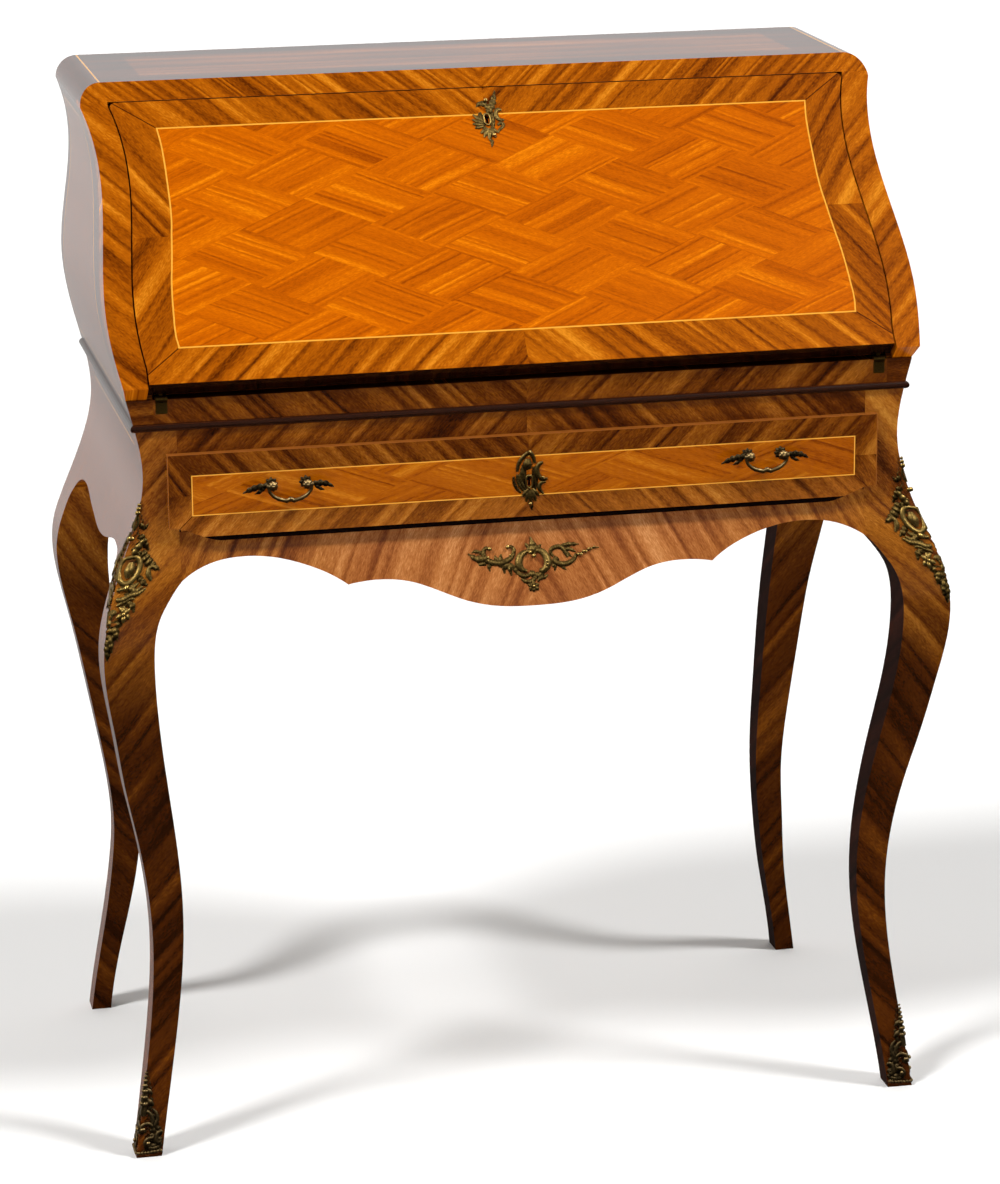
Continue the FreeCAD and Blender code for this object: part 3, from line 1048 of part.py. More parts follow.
slope_node("stay_brackets", both_sides(ear.fuse([ear_end, ear_foot]).removeSplitter().cut(eye)))

# Long drawer: lipped front, sides, back and bottom, with its lock and key plate

lip_back = -s.lip_gap
lip_face = lip_back - s.drawer_lip_thickness
rise_start = (s.drawer_lip_half_width - s.drawer_lip_sweep, s.drawer_lip_bottom)
rise_end = (s.drawer_lip_half_width, s.drawer_lip_bottom + s.drawer_lip_rise)
rise = smooth([rise_start] + span(rise_start, LIP_SWEEP_SHARES, rise_end), front_view).toShape()
lip_corners = [Vector(side * s.drawer_lip_half_width, 0, s.drawer_lip_top) for side in (1, -1)]
lip_outline = closed_face([
    rise, rise.mirror(Vector(0, 0, 0), Vector(1, 0, 0)), line(Vector(-rise_start[0], 0, rise_start[1]), front_view(rise_start)),
    line(front_view(rise_end), lip_corners[0]), line(lip_corners[0], lip_corners[1]),
    line(lip_corners[1], Vector(-rise_end[0], 0, rise_end[1])),
])
lip_solid = lip_outline.translated(Vector(0, lip_face, 0)).extrude(Vector(0, s.drawer_lip_thickness, 0))
drawer_half = s.opening_half_width - s.drawer_side_gap
drawer_low = s.opening_bottom + s.drawer_seat_gap
tongue_top = s.opening_top - s.drawer_head_gap
tongue_block = block((-drawer_half, drawer_half), (lip_back, s.drawer_front_inset), (drawer_low, tongue_top))
floor_low = drawer_low + s.drawer_floor_lift
floor_high = floor_low + s.drawer_floor_thickness
inner_half = drawer_half - s.drawer_side_thickness
floor_solid = block(
    (-inner_half - s.groove_depth, inner_half + s.groove_depth),
    (s.drawer_front_inset - s.groove_depth, s.drawer_back_setback), (floor_low, floor_high),
)
drawer_lock_y = (s.drawer_front_inset - s.lock_thickness, s.drawer_front_inset)
drawer_lock = block(lock_x, drawer_lock_y, (tongue_top - s.lock_drop, tongue_top))
drawer_bolt_top = tongue_top - s.bolt_setback
drawer_slot = block(bolt_slot, drawer_bolt_slot, (drawer_bolt_top - s.bolt_length - s.bolt_play, tongue_top + s.overrun))
drawer_keyhole = upright(keyhole(0, s.drawer_keyhole_height, -drawer_lock_y[0], -lip_face + s.overrun))
front_solid = lip_solid.fuse(tongue_block).removeSplitter().cut([floor_solid, drawer_lock, drawer_keyhole])
node(shape("drawer_front", front_solid))
side_board = block((inner_half, drawer_half), (s.drawer_front_inset, s.drawer_back_setback), (drawer_low, s.drawer_wall_top))
node(shape("drawer_sides", both_sides(side_board.cut(floor_solid))))
node(board(
    "drawer_back", ("0 - opening_half_width + drawer_side_gap + drawer_side_thickness", "opening_half_width - drawer_side_gap - drawer_side_thickness"),
    ("drawer_back_setback - drawer_side_thickness", "drawer_back_setback"),
    ("opening_bottom + drawer_seat_gap + drawer_floor_lift + drawer_floor_thickness", "drawer_wall_top"),
))
node(shape("drawer_floor", floor_solid))
node(shape("drawer_lock", drawer_lock.cut(drawer_slot)))
drawer_bolt_y = [drawer_bolt_middle + side * s.bolt_thickness / 2 for side in (-1, 1)]
node(shape("drawer_bolt", block((-s.bolt_half_width, s.bolt_half_width), drawer_bolt_y, (drawer_bolt_top - s.bolt_length, drawer_bolt_top))))
node(shape("drawer_escutcheon", upright(key_plate(-1, s.drawer_keyhole_height).translated(Vector(0, 0, -lip_face)))))

# Handles: two round studs each, and a bail that hangs between them on pins and carries a leaf on each side

eye_y = lip_face - s.stud_reach
studs = []
for side in (-1, 1):
    for stud in (-1, 1):
        x = side * s.handle_offset + stud * s.stud_spacing / 2
        half = s.stud_eye_radius * STUD_WIDTH_SHARE
        shank = rod((x, lip_face, s.handle_height), (x, eye_y, s.handle_height), s.stud_radius)
        head = rod((x - half, eye_y, s.handle_height), (x + half, eye_y, s.handle_height), s.stud_eye_radius)
        rosette = rod((x, lip_face, s.handle_height), (x, lip_face - s.mount_thickness / 2, s.handle_height), s.stud_eye_radius)
        bail_hole = rod((x - s.overrun, eye_y, s.handle_height), (x + s.overrun, eye_y, s.handle_height), s.bail_pin_radius + s.running_clearance)
        studs.append(shank.fuse([head, rosette]).removeSplitter().cut(bail_hole))
node(shape("handle_studs", Part.makeCompound(studs)))
stud_half = s.stud_eye_radius * STUD_WIDTH_SHARE
bar_widest = s.stud_spacing / 2 - stud_half - s.bail_side_gap - s.bail_radius
bar_end = math.sqrt(bar_widest ** 2 - max(0, s.bail_drop - bar_widest) ** 2)
bar_arc = Part.Arc(Vector(-bar_end, 0, 0), Vector(0, 0, -s.bail_drop), Vector(bar_end, 0, 0))
bar_start = bar_arc.value(bar_arc.FirstParameter)
disc = Part.Wire(Part.makeCircle(s.bail_radius, bar_start, bar_arc.tangent(bar_arc.FirstParameter)[0]))
bar = Part.Wire(bar_arc.toShape()).makePipeShell([disc], True, False)
spray_start = s.stud_spacing / 2 + stud_half + s.bail_side_gap
spray_points = [
    (spray_start + a * s.spray_length, b * s.spray_width) for a, b in SPRAY_SHARES
]
spray_face = Part.Face(Part.Wire(smooth(spray_points, front_view, True).toShape()))
spray_half = s.bail_radius
spray = spray_face.translated(Vector(0, -spray_half, 0)).extrude(Vector(0, 2 * spray_half, 0))
bail_pin = rod((bar_end, 0, 0), (spray_start + spray_half, 0, 0), s.bail_pin_radius)
arm_side = bail_pin.fuse([spray, Part.makeSphere(s.bail_radius, Vector(bar_end, 0, 0))])
bail = bar.fuse([arm_side, arm_side.mirror(Vector(0, 0, 0), Vector(1, 0, 0))])
for side, name in ((-1, "bail_left"), (1, "bail_right")):
    piece = shape(name, bail)
    piece.Placement = Placement(Vector(side * s.handle_offset, eye_y - setback, s.handle_height), Rotation())
    NODES.append(piece)

# Cast mounts: each is an outline seen from the front, cut out of a skin that follows the swell of the legs
# and the apron


def front_skin(low, high, thickness):
    """The section of a skin in front of the legs between two heights."""
    back = stretch(front_curve, low, min(high, s.bulge_top_height))
    if high > s.bulge_top_height:
        fore = shifted(back, 0, -thickness, 0)
        heads = [Vector(0, 0, high), Vector(0, -thickness, high)]
        return closed_face([
            back, fore, line(low_end(back), low_end(fore)), line(high_end(back), heads[0]), line(heads[0], heads[1]),
            line(heads[1], high_end(fore)),
        ])
    return face_between(back, shifted(back, 0, -thickness, 0))


def front_mount(name, outline, low, high, thickness, holes=()):
    reach = s.knee_half_width + s.overrun
    skin = front_skin(low - thickness, high + thickness, thickness).translated(Vector(-reach, 0, 0)).extrude(Vector(2 * reach, 0, 0))
    fore = -s.knee_front - s.overrun
    punch = outline.translated(Vector(0, fore, 0)).extrude(Vector(0, -2 * fore, 0))
    solid = skin.common(punch)
    for x, z, half_across, half_up in holes:
        ring = Part.makeCylinder(half_across, -2 * fore, Vector(x, fore, z), Vector(0, 1, 0))
        solid = solid.cut(ring)
    return node(shape(name, solid))


apron_tall = s.apron_mount_top - s.apron_mount_bottom
apron_points = [(a * s.apron_mount_width, s.apron_mount_bottom + b * apron_tall) for a, b in APRON_MOUNT_SHARES]
apron_plate = Part.Face(Part.Wire(smooth(apron_points, front_view, True).toShape()))
hole_across, hole_up, hole_middle = APRON_MOUNT_OPENING_SHARES
apron_hole = (0, s.apron_mount_bottom + hole_middle * apron_tall, hole_across * s.apron_mount_width, hole_up * apron_tall)
front_mount("apron_mount", apron_plate, s.apron_mount_bottom, s.apron_mount_top, s.mount_thickness, [apron_hole])

knee_tall = s.corner_mount_top - s.corner_mount_bottom


def knee_place(a, b):
    height = s.corner_mount_bottom + b * knee_tall
    return (half_width_at(height) + a * s.corner_mount_width, height)


knee_plate = Part.Face(Part.Wire(smooth([knee_place(a, b) for a, b in KNEE_MOUNT_SHARES], front_view, True).toShape()))
ring_across, ring_up, ring_aside, ring_height = KNEE_MOUNT_OPENING_SHARES
ring_place = knee_place(ring_aside, ring_height)
knee_hole = (ring_place[0], ring_place[1], ring_across * s.corner_mount_width, ring_up * knee_tall)
knee_mount_right = front_mount("knee_mount_right", knee_plate, s.corner_mount_bottom, s.corner_mount_top, s.mount_thickness, [knee_hole])
mirrored("knee_mount_left", knee_mount_right)

# Foot mounts: a skin round the front and the outside of each front foot that rises to a point at the corner

shell_outer = shifted(stretch(side_curve, s.sabot_foot, s.sabot_height), s.sabot_thickness, 0, 0)
shell_inner = Vector(inner_foot[0], 0, s.sabot_foot)
shell_head = Vector(high_end(shell_outer).x - s.foot_width, 0, high_end(shell_outer).z)
shell_front = closed_face([
    shell_outer, line(low_end(shell_outer), shell_inner), line(shell_inner, shell_head), line(shell_head, high_end(shell_outer)),
])
shell_fore = shifted(stretch(front_curve, s.sabot_foot, s.sabot_height), 0, -s.sabot_thickness, 0)
shell_rear = shifted(shell_fore, 0, s.sabot_thickness + s.foot_depth * SABOT_WRAP_SHARE, 0)
shell_side = face_between(shell_fore, shell_rear)
shell = shell_front.translated(Vector(0, -s.overrun, 0)).extrude(Vector(0, 3 * s.overrun, 0))
shell = shell.common(shell_side.extrude(Vector(s.knee_half_width + s.overrun, 0, 0)))
leg_block = front_outline.translated(Vector(0, -s.knee_front - s.overrun, 0)).extrude(Vector(0, s.knee_front + s.front_post_depth + 2 * s.overrun, 0))
leg_block = leg_block.common(side_outline.extrude(Vector(s.knee_half_width + s.overrun, 0, 0)))
tip_x = half_width_at(s.sabot_height)
tip_half = s.foot_width * SABOT_TIP_SHARE
point_outline = polygon_face([
    (inner_foot[0], 0), (s.foot_half_width + s.overrun, 0), (s.foot_half_width + s.overrun, s.sabot_height),
    (tip_x - tip_half, s.sabot_height), (inner_foot[0], s.sabot_height * SABOT_LOW_SHARE),
], front_view)
point_side = polygon_face([
    (-s.foot_front - s.overrun, 0), (s.foot_depth, 0), (s.foot_depth, s.sabot_height * SABOT_LOW_SHARE),
    (s.ankle_setback * SABOT_TIP_SHARE + s.sabot_thickness, s.sabot_height), (-s.foot_front - s.overrun, s.sabot_height),
], side_view)
sabot = shell.cut(leg_block).common(point_outline.translated(Vector(0, -s.overrun, 0)).extrude(Vector(0, 3 * s.overrun, 0)))
sabot = sabot.common(point_side.extrude(Vector(s.knee_half_width + s.overrun, 0, 0)))
node(shape("foot_mounts", both_sides(sabot)))

# Every object is checked before the files are written

doc.recompute()
for piece in doc.Objects:
    if "Invalid" in piece.State or "Error" in piece.State:
        raise RuntimeError("%s is %s" % (piece.Label, piece.State))
for piece in NODES:
    if piece.Shape.isNull() or not piece.Shape.isValid() or not piece.Shape.Solids:
        raise RuntimeError("%s has no valid shape" % piece.Label)
os.makedirs("parts", exist_ok=True)
for piece in NODES:
    piece.Shape.exportStep("parts/%s.step" % piece.Label)
print("%d sub-parts" % len(NODES))
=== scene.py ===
import math

import bmesh
import bpy
from mathutils import Matrix, Vector
from mathutils.bvhtree import BVHTree


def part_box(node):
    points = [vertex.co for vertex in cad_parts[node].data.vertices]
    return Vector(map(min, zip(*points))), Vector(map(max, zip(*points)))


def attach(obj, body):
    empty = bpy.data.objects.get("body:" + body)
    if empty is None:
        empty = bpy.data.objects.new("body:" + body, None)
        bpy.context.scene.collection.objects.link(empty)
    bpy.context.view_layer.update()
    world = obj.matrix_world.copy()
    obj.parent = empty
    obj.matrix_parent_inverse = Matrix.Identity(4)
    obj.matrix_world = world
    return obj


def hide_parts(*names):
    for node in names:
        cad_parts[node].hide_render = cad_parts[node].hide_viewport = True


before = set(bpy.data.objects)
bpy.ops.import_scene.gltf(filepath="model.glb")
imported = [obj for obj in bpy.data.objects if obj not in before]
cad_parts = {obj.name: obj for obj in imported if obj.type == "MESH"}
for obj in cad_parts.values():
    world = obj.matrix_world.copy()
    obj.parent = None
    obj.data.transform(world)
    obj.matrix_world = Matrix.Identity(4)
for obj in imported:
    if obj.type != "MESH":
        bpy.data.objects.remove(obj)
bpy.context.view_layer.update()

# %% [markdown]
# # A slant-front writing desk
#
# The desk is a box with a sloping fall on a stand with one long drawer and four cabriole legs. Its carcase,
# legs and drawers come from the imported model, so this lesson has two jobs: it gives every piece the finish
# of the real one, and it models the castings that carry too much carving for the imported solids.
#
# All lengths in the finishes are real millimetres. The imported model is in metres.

MM = 0.001

# %% [markdown]
# ## The camera and the light
#
# The desk stands turned about twelve degrees, seen from a little above. A long lens keeps its edges nearly
# parallel. The room is a plain pale one: the gloss of the lacquer shows it on the top and on the left side,
# which the eye meets at a low angle.

# %% Camera
VIEW_YAW, VIEW_PITCH, VIEW_ROLL = (math.radians(angle) for angle in (12.33, 15.78, 0.459))
CAMERA_PLACE = Vector((-0.7946, -3.6986, 1.5344))
FOCAL_PIXELS, FRAME_HEIGHT_PIXELS = 4136.3, 1184
SENSOR, SIGHT = 36.0, 50.0

forward = Vector((
    math.sin(VIEW_YAW) * math.cos(VIEW_PITCH), math.cos(VIEW_YAW) * math.cos(VIEW_PITCH),
    -math.sin(VIEW_PITCH),
))
level = Vector((math.cos(VIEW_YAW), -math.sin(VIEW_YAW), 0))
down = forward.cross(level)
right = level * math.cos(VIEW_ROLL) + down * math.sin(VIEW_ROLL)
up = level * math.sin(VIEW_ROLL) - down * math.cos(VIEW_ROLL)

camera_data = bpy.data.cameras.new("view")
camera_data.sensor_width = SENSOR
camera_data.lens = FOCAL_PIXELS / FRAME_HEIGHT_PIXELS * SENSOR
camera_data.clip_end = SIGHT
camera = bpy.data.objects.new("view", camera_data)
bpy.context.scene.collection.objects.link(camera)
turned = Matrix((right, up, -forward)).transposed().to_4x4()
camera.matrix_world = Matrix.Translation(CAMERA_PLACE) @ turned
bpy.context.scene.camera = camera
print("lens", round(camera_data.lens, 1), "mm")

# %% [markdown]
# Every finish below is a tree of nodes built in this script. One helper adds a node, one turns a colour
# from the hex value that a paint chart gives into the linear light that a shader works in, and one starts a
# material.

# %% Helpers for nodes, colours and materials


def put(tree, kind, values=(), **settings):
    """Adds a node. values are its inputs, in order or by name: sockets are linked, and the rest is set."""
    node = tree.nodes.new(kind)
    for name, value in settings.items():
        setattr(node, name, value)
    for key, value in values.items() if isinstance(values, dict) else enumerate(values):
        if isinstance(value, bpy.types.Node):
            value = value.outputs[0]
        if isinstance(value, bpy.types.NodeSocket):
            tree.links.new(value, node.inputs[key])
        else:
            node.inputs[key].default_value = value
    return node


def colour_of(hex_colour):
    """An sRGB colour such as "a0b1c2" as the linear values that shaders use."""
    channels = [int(hex_colour[i:i + 2], 16) / 255 for i in (0, 2, 4)]
    return tuple(c / 12.92 if c <= 0.04045 else ((c + 0.055) / 1.055) ** 2.4 for c in channels) + (1.0,)


def new_material(name):
    """A material with its tree and its shader."""
    material = bpy.data.materials.new(name)
    material.use_nodes = True
    return material, material.node_tree, material.node_tree.nodes["Principled BSDF"]


print("the middle grey 808080 is", round(colour_of("808080")[0], 3), "of white in linear light")

# %% [markdown]
# The floor is one pale sheet. It takes a shadow, but the lacquer doesn't mirror it, because under a real
# desk in a studio the floor is dim. Beyond it stands a pale wall that only the camera sees, so it adds no
# light and no reflection.

# %% Floor and wall
FLOOR_HALF = 60.0
WALL_REACH, WALL_FOOT, WALL_HEIGHT, WALL_SIDES = 50.0, -1.0, 40.0, 48


def backdrop(name, corners, faces, material):
    """A sheet of the studio, which isn't part of the desk."""
    mesh = bpy.data.meshes.new(name)
    mesh.from_pydata(corners, [], faces)
    mesh.materials.append(material)
    sheet = bpy.data.objects.new(name, mesh)
    bpy.context.scene.collection.objects.link(sheet)
    return sheet


paper, _, shader = new_material("pale_paper")
shader.inputs["Base Color"].default_value = colour_of("f4f4f3")
shader.inputs["Roughness"].default_value = 0.9
corners = [(x * FLOOR_HALF, y * FLOOR_HALF, 0) for x, y in ((-1, -1), (1, -1), (1, 1), (-1, 1))]
floor = backdrop("floor", corners, [(0, 1, 2, 3)], paper)
floor.visible_glossy = False

glow, _, shader = new_material("lit_wall")
shader.inputs["Base Color"].default_value = colour_of("000000")
shader.inputs["Emission Color"].default_value = colour_of("fafaf9")
shader.inputs["Emission Strength"].default_value = 1.0
corners = []
for k in range(WALL_SIDES):
    turn = k * math.tau / WALL_SIDES
    x, y = WALL_REACH * math.cos(turn), WALL_REACH * math.sin(turn)
    corners += [(x, y, WALL_FOOT), (x, y, WALL_HEIGHT)]
panels = [tuple((2 * k + step) % (2 * WALL_SIDES) for step in (0, 1, 3, 2)) for k in range(WALL_SIDES)]
wall = backdrop("wall", corners, panels, glow)
wall.visible_diffuse = wall.visible_glossy = wall.visible_transmission = wall.visible_shadow = False
print("floor", 2 * FLOOR_HALF, "m wide, wall of", len(panels), "panels")

# %% [markdown]
# The sky stands in for the room. It is white behind the desk, which whitens the sides where they mirror it,
# and dim in front, which keeps the fall and the fronts deep in colour. Two large soft lights stand left and
# right above the front, as in a studio.

# %% Room and lights
sky = bpy.data.worlds.new("studio_room")
sky.use_nodes = True
tree = sky.node_tree
way = put(tree, "ShaderNodeTexCoord")
way = put(tree, "ShaderNodeSeparateXYZ", [way.outputs["Generated"]])
front = put(tree, "ShaderNodeMapRange", {"Value": way.outputs[1], "From Min": 0.45, "From Max": 0.0})
low = put(tree, "ShaderNodeMapRange", {"Value": way.outputs[2], "From Min": 0.04, "From Max": -0.10})
high = put(tree, "ShaderNodeMapRange", {"Value": way.outputs[2], "From Min": 0.40, "From Max": 0.80})
dark = put(tree, "ShaderNodeMath", [low, high], operation="MAXIMUM")
front_level = put(tree, "ShaderNodeMapRange", {"Value": dark, "To Min": 0.15, "To Max": 0.01})
back_level = put(tree, "ShaderNodeMapRange", {
    "Value": way.outputs[2], "From Min": -0.32, "From Max": -0.15, "To Min": 0.28, "To Max": 0.82,
})
spread = put(tree, "ShaderNodeMix", {0: front, 2: back_level, 3: front_level}, data_type="FLOAT")
tree.links.new(spread.outputs[0], tree.nodes["Background"].inputs["Strength"])
tree.nodes["Background"].inputs["Color"].default_value = colour_of("fffdfb")
bpy.context.scene.world = sky
bpy.context.scene.view_settings.view_transform = "Standard"

# Each light: degrees right of the front and degrees up that it comes from, its strength and its spread.
LIGHTS = (("light_left", -60, 52, 2.05, 11), ("light_right", 60, 50, 1.9, 11))
LIGHT_REACH = 4.0
for name, aside, height, strength, spread_angle in LIGHTS:
    lamp = bpy.data.lights.new(name, "SUN")
    lamp.energy, lamp.angle = strength, math.radians(spread_angle)
    lamp_object = bpy.data.objects.new(name, lamp)
    aside, height = math.radians(aside), math.radians(height)
    reach = math.cos(height)
    source = Vector((math.sin(aside) * reach, -math.cos(aside) * reach, math.sin(height)))
    lamp_object.location = source * LIGHT_REACH
    lamp_object.rotation_euler = source.to_track_quat("Z", "Y").to_euler()
    bpy.context.scene.collection.objects.link(lamp_object)
print("lights", len(LIGHTS))

# %% [markdown]
# ## Striped veneer
#
# The desk is covered in mahogany cut on the quarter. The fibres of such wood lean one way and then the
# other in ribbons a finger's width or so across, so the veneer shows soft dark and light stripes. A picture
# of wood could be pasted on, but a rule gives sharper and truer wood: it numbers the ribbons and shades
# each from a dark band to a light one, with broad clouds and fine pores over them. The group below takes a
# place in a leaf of veneer (across the grain, along it, and the leaf's own number) and gives the tone of
# the wood there. The pores are drawn about twice as coarse as real ones, because finer ones would not show.

# %% The ribbon rule
PORE, PORE_LENGTH, RIBBON_LENGTH, CLOUD_LENGTH = 1.0, 5.0, 120.0, 240.0
WAVER_SPACING, WAVER = (90.0, 140.0), 8.0
# How many ribbons apart two leaves begin, and how much and how often ribbons differ in width.
LEAF_SHIFT, UNEVENNESS, UNEVEN_SPACING = 3.71, 1.5, 0.6
# What the ribbon's own tone, its bands, the clouds and the pores add, and what brings it to the middle.
OWN_SHARE, BAND_SHARE, CLOUD_SHARE, PORE_SHARE, TONE_DROP = 0.20, 0.66, 0.34, 0.80, 0.075
# The lowest tone that occurs, and how far the tones spread.
LOWEST_TONE, TONE_SPREAD = 0.12, 0.80
# The tone across one ribbon: a dark band, a quick rise to a light one, and a slow fall to the next.
RIBBON_PROFILE = ((0.0, 0.20), (0.14, 0.14), (0.30, 0.66), (0.46, 0.82), (0.80, 0.50), (1.0, 0.20))


def graded(tree, tone, stops):
    """The tone as a colour, by stops of a position and a colour."""
    ramp = put(tree, "ShaderNodeValToRGB", [tone])
    marks = ramp.color_ramp.elements
    while len(marks) < len(stops):
        marks.new(0.5)
    for mark, (position, colour) in zip(marks, stops):
        mark.position, mark.color = position, colour
    return ramp.outputs[0]


def ribbon_rule():
    group = bpy.data.node_groups.new("ribbon_rule", "ShaderNodeTree")
    sockets = (("Place", "INPUT", "Vector"), ("Band", "INPUT", "Float"), ("Tone", "OUTPUT", "Float"),
               ("Fibre", "OUTPUT", "Float"))
    for label, way, kind in sockets:
        group.interface.new_socket(label, in_out=way, socket_type="NodeSocket" + kind)
    ends = put(group, "NodeGroupInput")
    place, band = ends.outputs["Place"], ends.outputs["Band"]
    # The ribbons waver a little as they run.
    drift = (1 / WAVER_SPACING[0], 1 / WAVER_SPACING[1], 1)
    drift = put(group, "ShaderNodeVectorMath", [place, drift], operation="MULTIPLY")
    waver = put(group, "ShaderNodeTexNoise", {"Vector": drift, "Scale": 1.0, "Detail": 1.0})
    waver = put(group, "ShaderNodeMath", [waver, WAVER, -WAVER / 2], operation="MULTIPLY_ADD")
    waver = put(group, "ShaderNodeCombineXYZ", [waver])
    place = put(group, "ShaderNodeVectorMath", [place, waver], operation="ADD")
    parts = put(group, "ShaderNodeSeparateXYZ", [place])
    across = put(group, "ShaderNodeMath", [parts.outputs[0], band], operation="DIVIDE")
    leaf = put(group, "ShaderNodeMath", [parts.outputs[2], LEAF_SHIFT, across], operation="MULTIPLY_ADD")
    # Ribbons differ in width, so a slow noise shifts their edges before they are numbered.
    uneven = {"W": leaf, "Scale": UNEVEN_SPACING, "Detail": 0.0}
    uneven = put(group, "ShaderNodeTexNoise", uneven, noise_dimensions="1D")
    count = put(group, "ShaderNodeMath", [uneven, UNEVENNESS, leaf], operation="MULTIPLY_ADD")
    number = put(group, "ShaderNodeMath", [count], operation="FLOOR")
    share = put(group, "ShaderNodeMath", [count], operation="FRACT")
    own = put(group, "ShaderNodeTexWhiteNoise", {"W": number}, noise_dimensions="1D")
    profile = [(position, (tone, tone, tone, 1)) for position, tone in RIBBON_PROFILE]
    band_tone = graded(group, share, profile)
    band_tone = put(group, "ShaderNodeMath", [band_tone, 0.5], operation="SUBTRACT")
    # A ribbon fades in places, so its bands are stronger here and weaker there.
    per_band = put(group, "ShaderNodeMath", [1.1, band], operation="DIVIDE")
    spacing = put(group, "ShaderNodeCombineXYZ", [per_band, 1 / RIBBON_LENGTH, 1.0])
    strength = put(group, "ShaderNodeVectorMath", [place, spacing], operation="MULTIPLY")
    strength = put(group, "ShaderNodeTexNoise", {"Vector": strength, "Scale": 1.0, "Detail": 1.0})
    strength = put(group, "ShaderNodeMapRange", {"Value": strength, "From Min": 0.35, "From Max": 0.65})
    band_tone = put(group, "ShaderNodeMath", [band_tone, strength], operation="MULTIPLY")
    per_cloud = put(group, "ShaderNodeMath", [0.55, band], operation="DIVIDE")
    spacing = put(group, "ShaderNodeCombineXYZ", [per_cloud, 1 / CLOUD_LENGTH, 1.7])
    cloud = put(group, "ShaderNodeVectorMath", [place, spacing], operation="MULTIPLY")
    cloud = {"Vector": cloud, "Scale": 1.0, "Detail": 2.0, "Roughness": 0.5}
    cloud = put(group, "ShaderNodeTexNoise", cloud)
    cloud = put(group, "ShaderNodeMapRange", {"Value": cloud, "From Min": 0.3, "From Max": 0.7})
    pores = (1 / PORE, 1 / PORE_LENGTH, 2.3)
    pores = put(group, "ShaderNodeVectorMath", [place, pores], operation="MULTIPLY")
    pores = {"Vector": pores, "Scale": 1.0, "Detail": 2.0, "Roughness": 0.8}
    pores = put(group, "ShaderNodeTexNoise", pores)
    tone = put(group, "ShaderNodeMath", [own, OWN_SHARE, -OWN_SHARE / 2], operation="MULTIPLY_ADD")
    for part, weight in ((band_tone, BAND_SHARE), (cloud, CLOUD_SHARE), (pores, PORE_SHARE)):
        tone = put(group, "ShaderNodeMath", [part, weight, tone], operation="MULTIPLY_ADD")
    tone = put(group, "ShaderNodeMath", [tone, TONE_DROP], operation="SUBTRACT")
    put(group, "NodeGroupOutput", {"Tone": tone, "Fibre": pores})
    return group


RIBBON = ribbon_rule()


def ribbons(tree, place, band):
    """The tone and the fibre of a leaf of striped veneer, whose ribbons are band millimetres wide."""
    rule = put(tree, "ShaderNodeGroup", {"Place": place, "Band": band}, node_tree=RIBBON)
    return rule.outputs["Tone"], rule.outputs["Fibre"]


def stained(tree, tone, colours):
    """The tone as colours, from the darkest to the lightest, spread over the tones that occur."""
    spacing = TONE_SPREAD / (len(colours) - 1)
    return graded(tree, tone, [(LOWEST_TONE + k * spacing, colour_of(c)) for k, c in enumerate(colours)])


print("ribbon rule", len(RIBBON.nodes), "nodes")

# %% [markdown]
# ## Lacquer
#
# Every veneered face is under a smooth clear lacquer. Seen square on it hides itself, and at a low angle it
# mirrors the room, which is why the top and the left side look pale and pinkish. One shader does both, with
# a low roughness and the usual index of a lacquer. The legs' inner faces were never lacquered and stay
# dull.

# %% Lacquered wood from a painting rule
LACQUER_INDEX, LACQUER_ROUGHNESS, LACQUER_GLOSS = 1.5, 0.14, 0.5
BARE_ROUGHNESS, BARE_GLOSS = 0.95, 0.1
FINE_DEPTH = 0.2 * MM


def lacquered(name, paint, roughness=LACQUER_ROUGHNESS):
    """A lacquered wood. paint gets the tree, the place and the way out of the face, and gives a colour, a
    height and, for the legs, where the wood is bare."""
    material, tree, shader = new_material(name)
    here = put(tree, "ShaderNodeTexCoord")
    colour, height, *bare = paint(tree, here.outputs["Object"], here.outputs["Normal"])
    tree.links.new(colour, shader.inputs["Base Color"])
    shader.inputs["Roughness"].default_value = roughness
    shader.inputs["IOR"].default_value = LACQUER_INDEX
    if bare:
        rough = {"Value": bare[0], "To Min": roughness, "To Max": BARE_ROUGHNESS}
        gloss = {"Value": bare[0], "To Min": LACQUER_GLOSS, "To Max": BARE_GLOSS}
        for label, values in (("Roughness", rough), ("Specular IOR Level", gloss)):
            tree.links.new(put(tree, "ShaderNodeMapRange", values).outputs[0], shader.inputs[label])
    bump = put(tree, "ShaderNodeBump", {"Strength": 0.05, "Distance": FINE_DEPTH, "Height": height})
    tree.links.new(bump.outputs[0], shader.inputs["Normal"])
    return material


def dress(material, nodes):
    """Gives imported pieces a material."""
    for node in nodes:
        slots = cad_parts[node].data.materials
        slots.clear()
        slots.append(material)
    print(material.name, "on", len(nodes), "pieces")


# %% [markdown]
# Marquetry is a matter of place: where a leaf begins, how its grain runs, and what is let into it. These
# rules turn a place in the desk into a place in a leaf, and let one wood into another.

# %% Rules for laying veneer


def in_mm(tree, place, turn=(0, 0, 0), shift=(0, 0, 0)):
    """The place in millimetres, turned and then moved."""
    turn = [math.radians(angle) for angle in turn]
    return put(tree, "ShaderNodeMapping", {
        "Vector": place, "Scale": (1 / MM, 1 / MM, 1 / MM), "Rotation": turn, "Location": shift,
    })


def flat_turned(tree, place, turn):
    """The place turned in its own plane, so that it lies across and along the grain."""
    turn = (0, 0, math.radians(turn))
    return put(tree, "ShaderNodeMapping", {"Vector": place, "Scale": (1, 1, 0), "Rotation": turn})


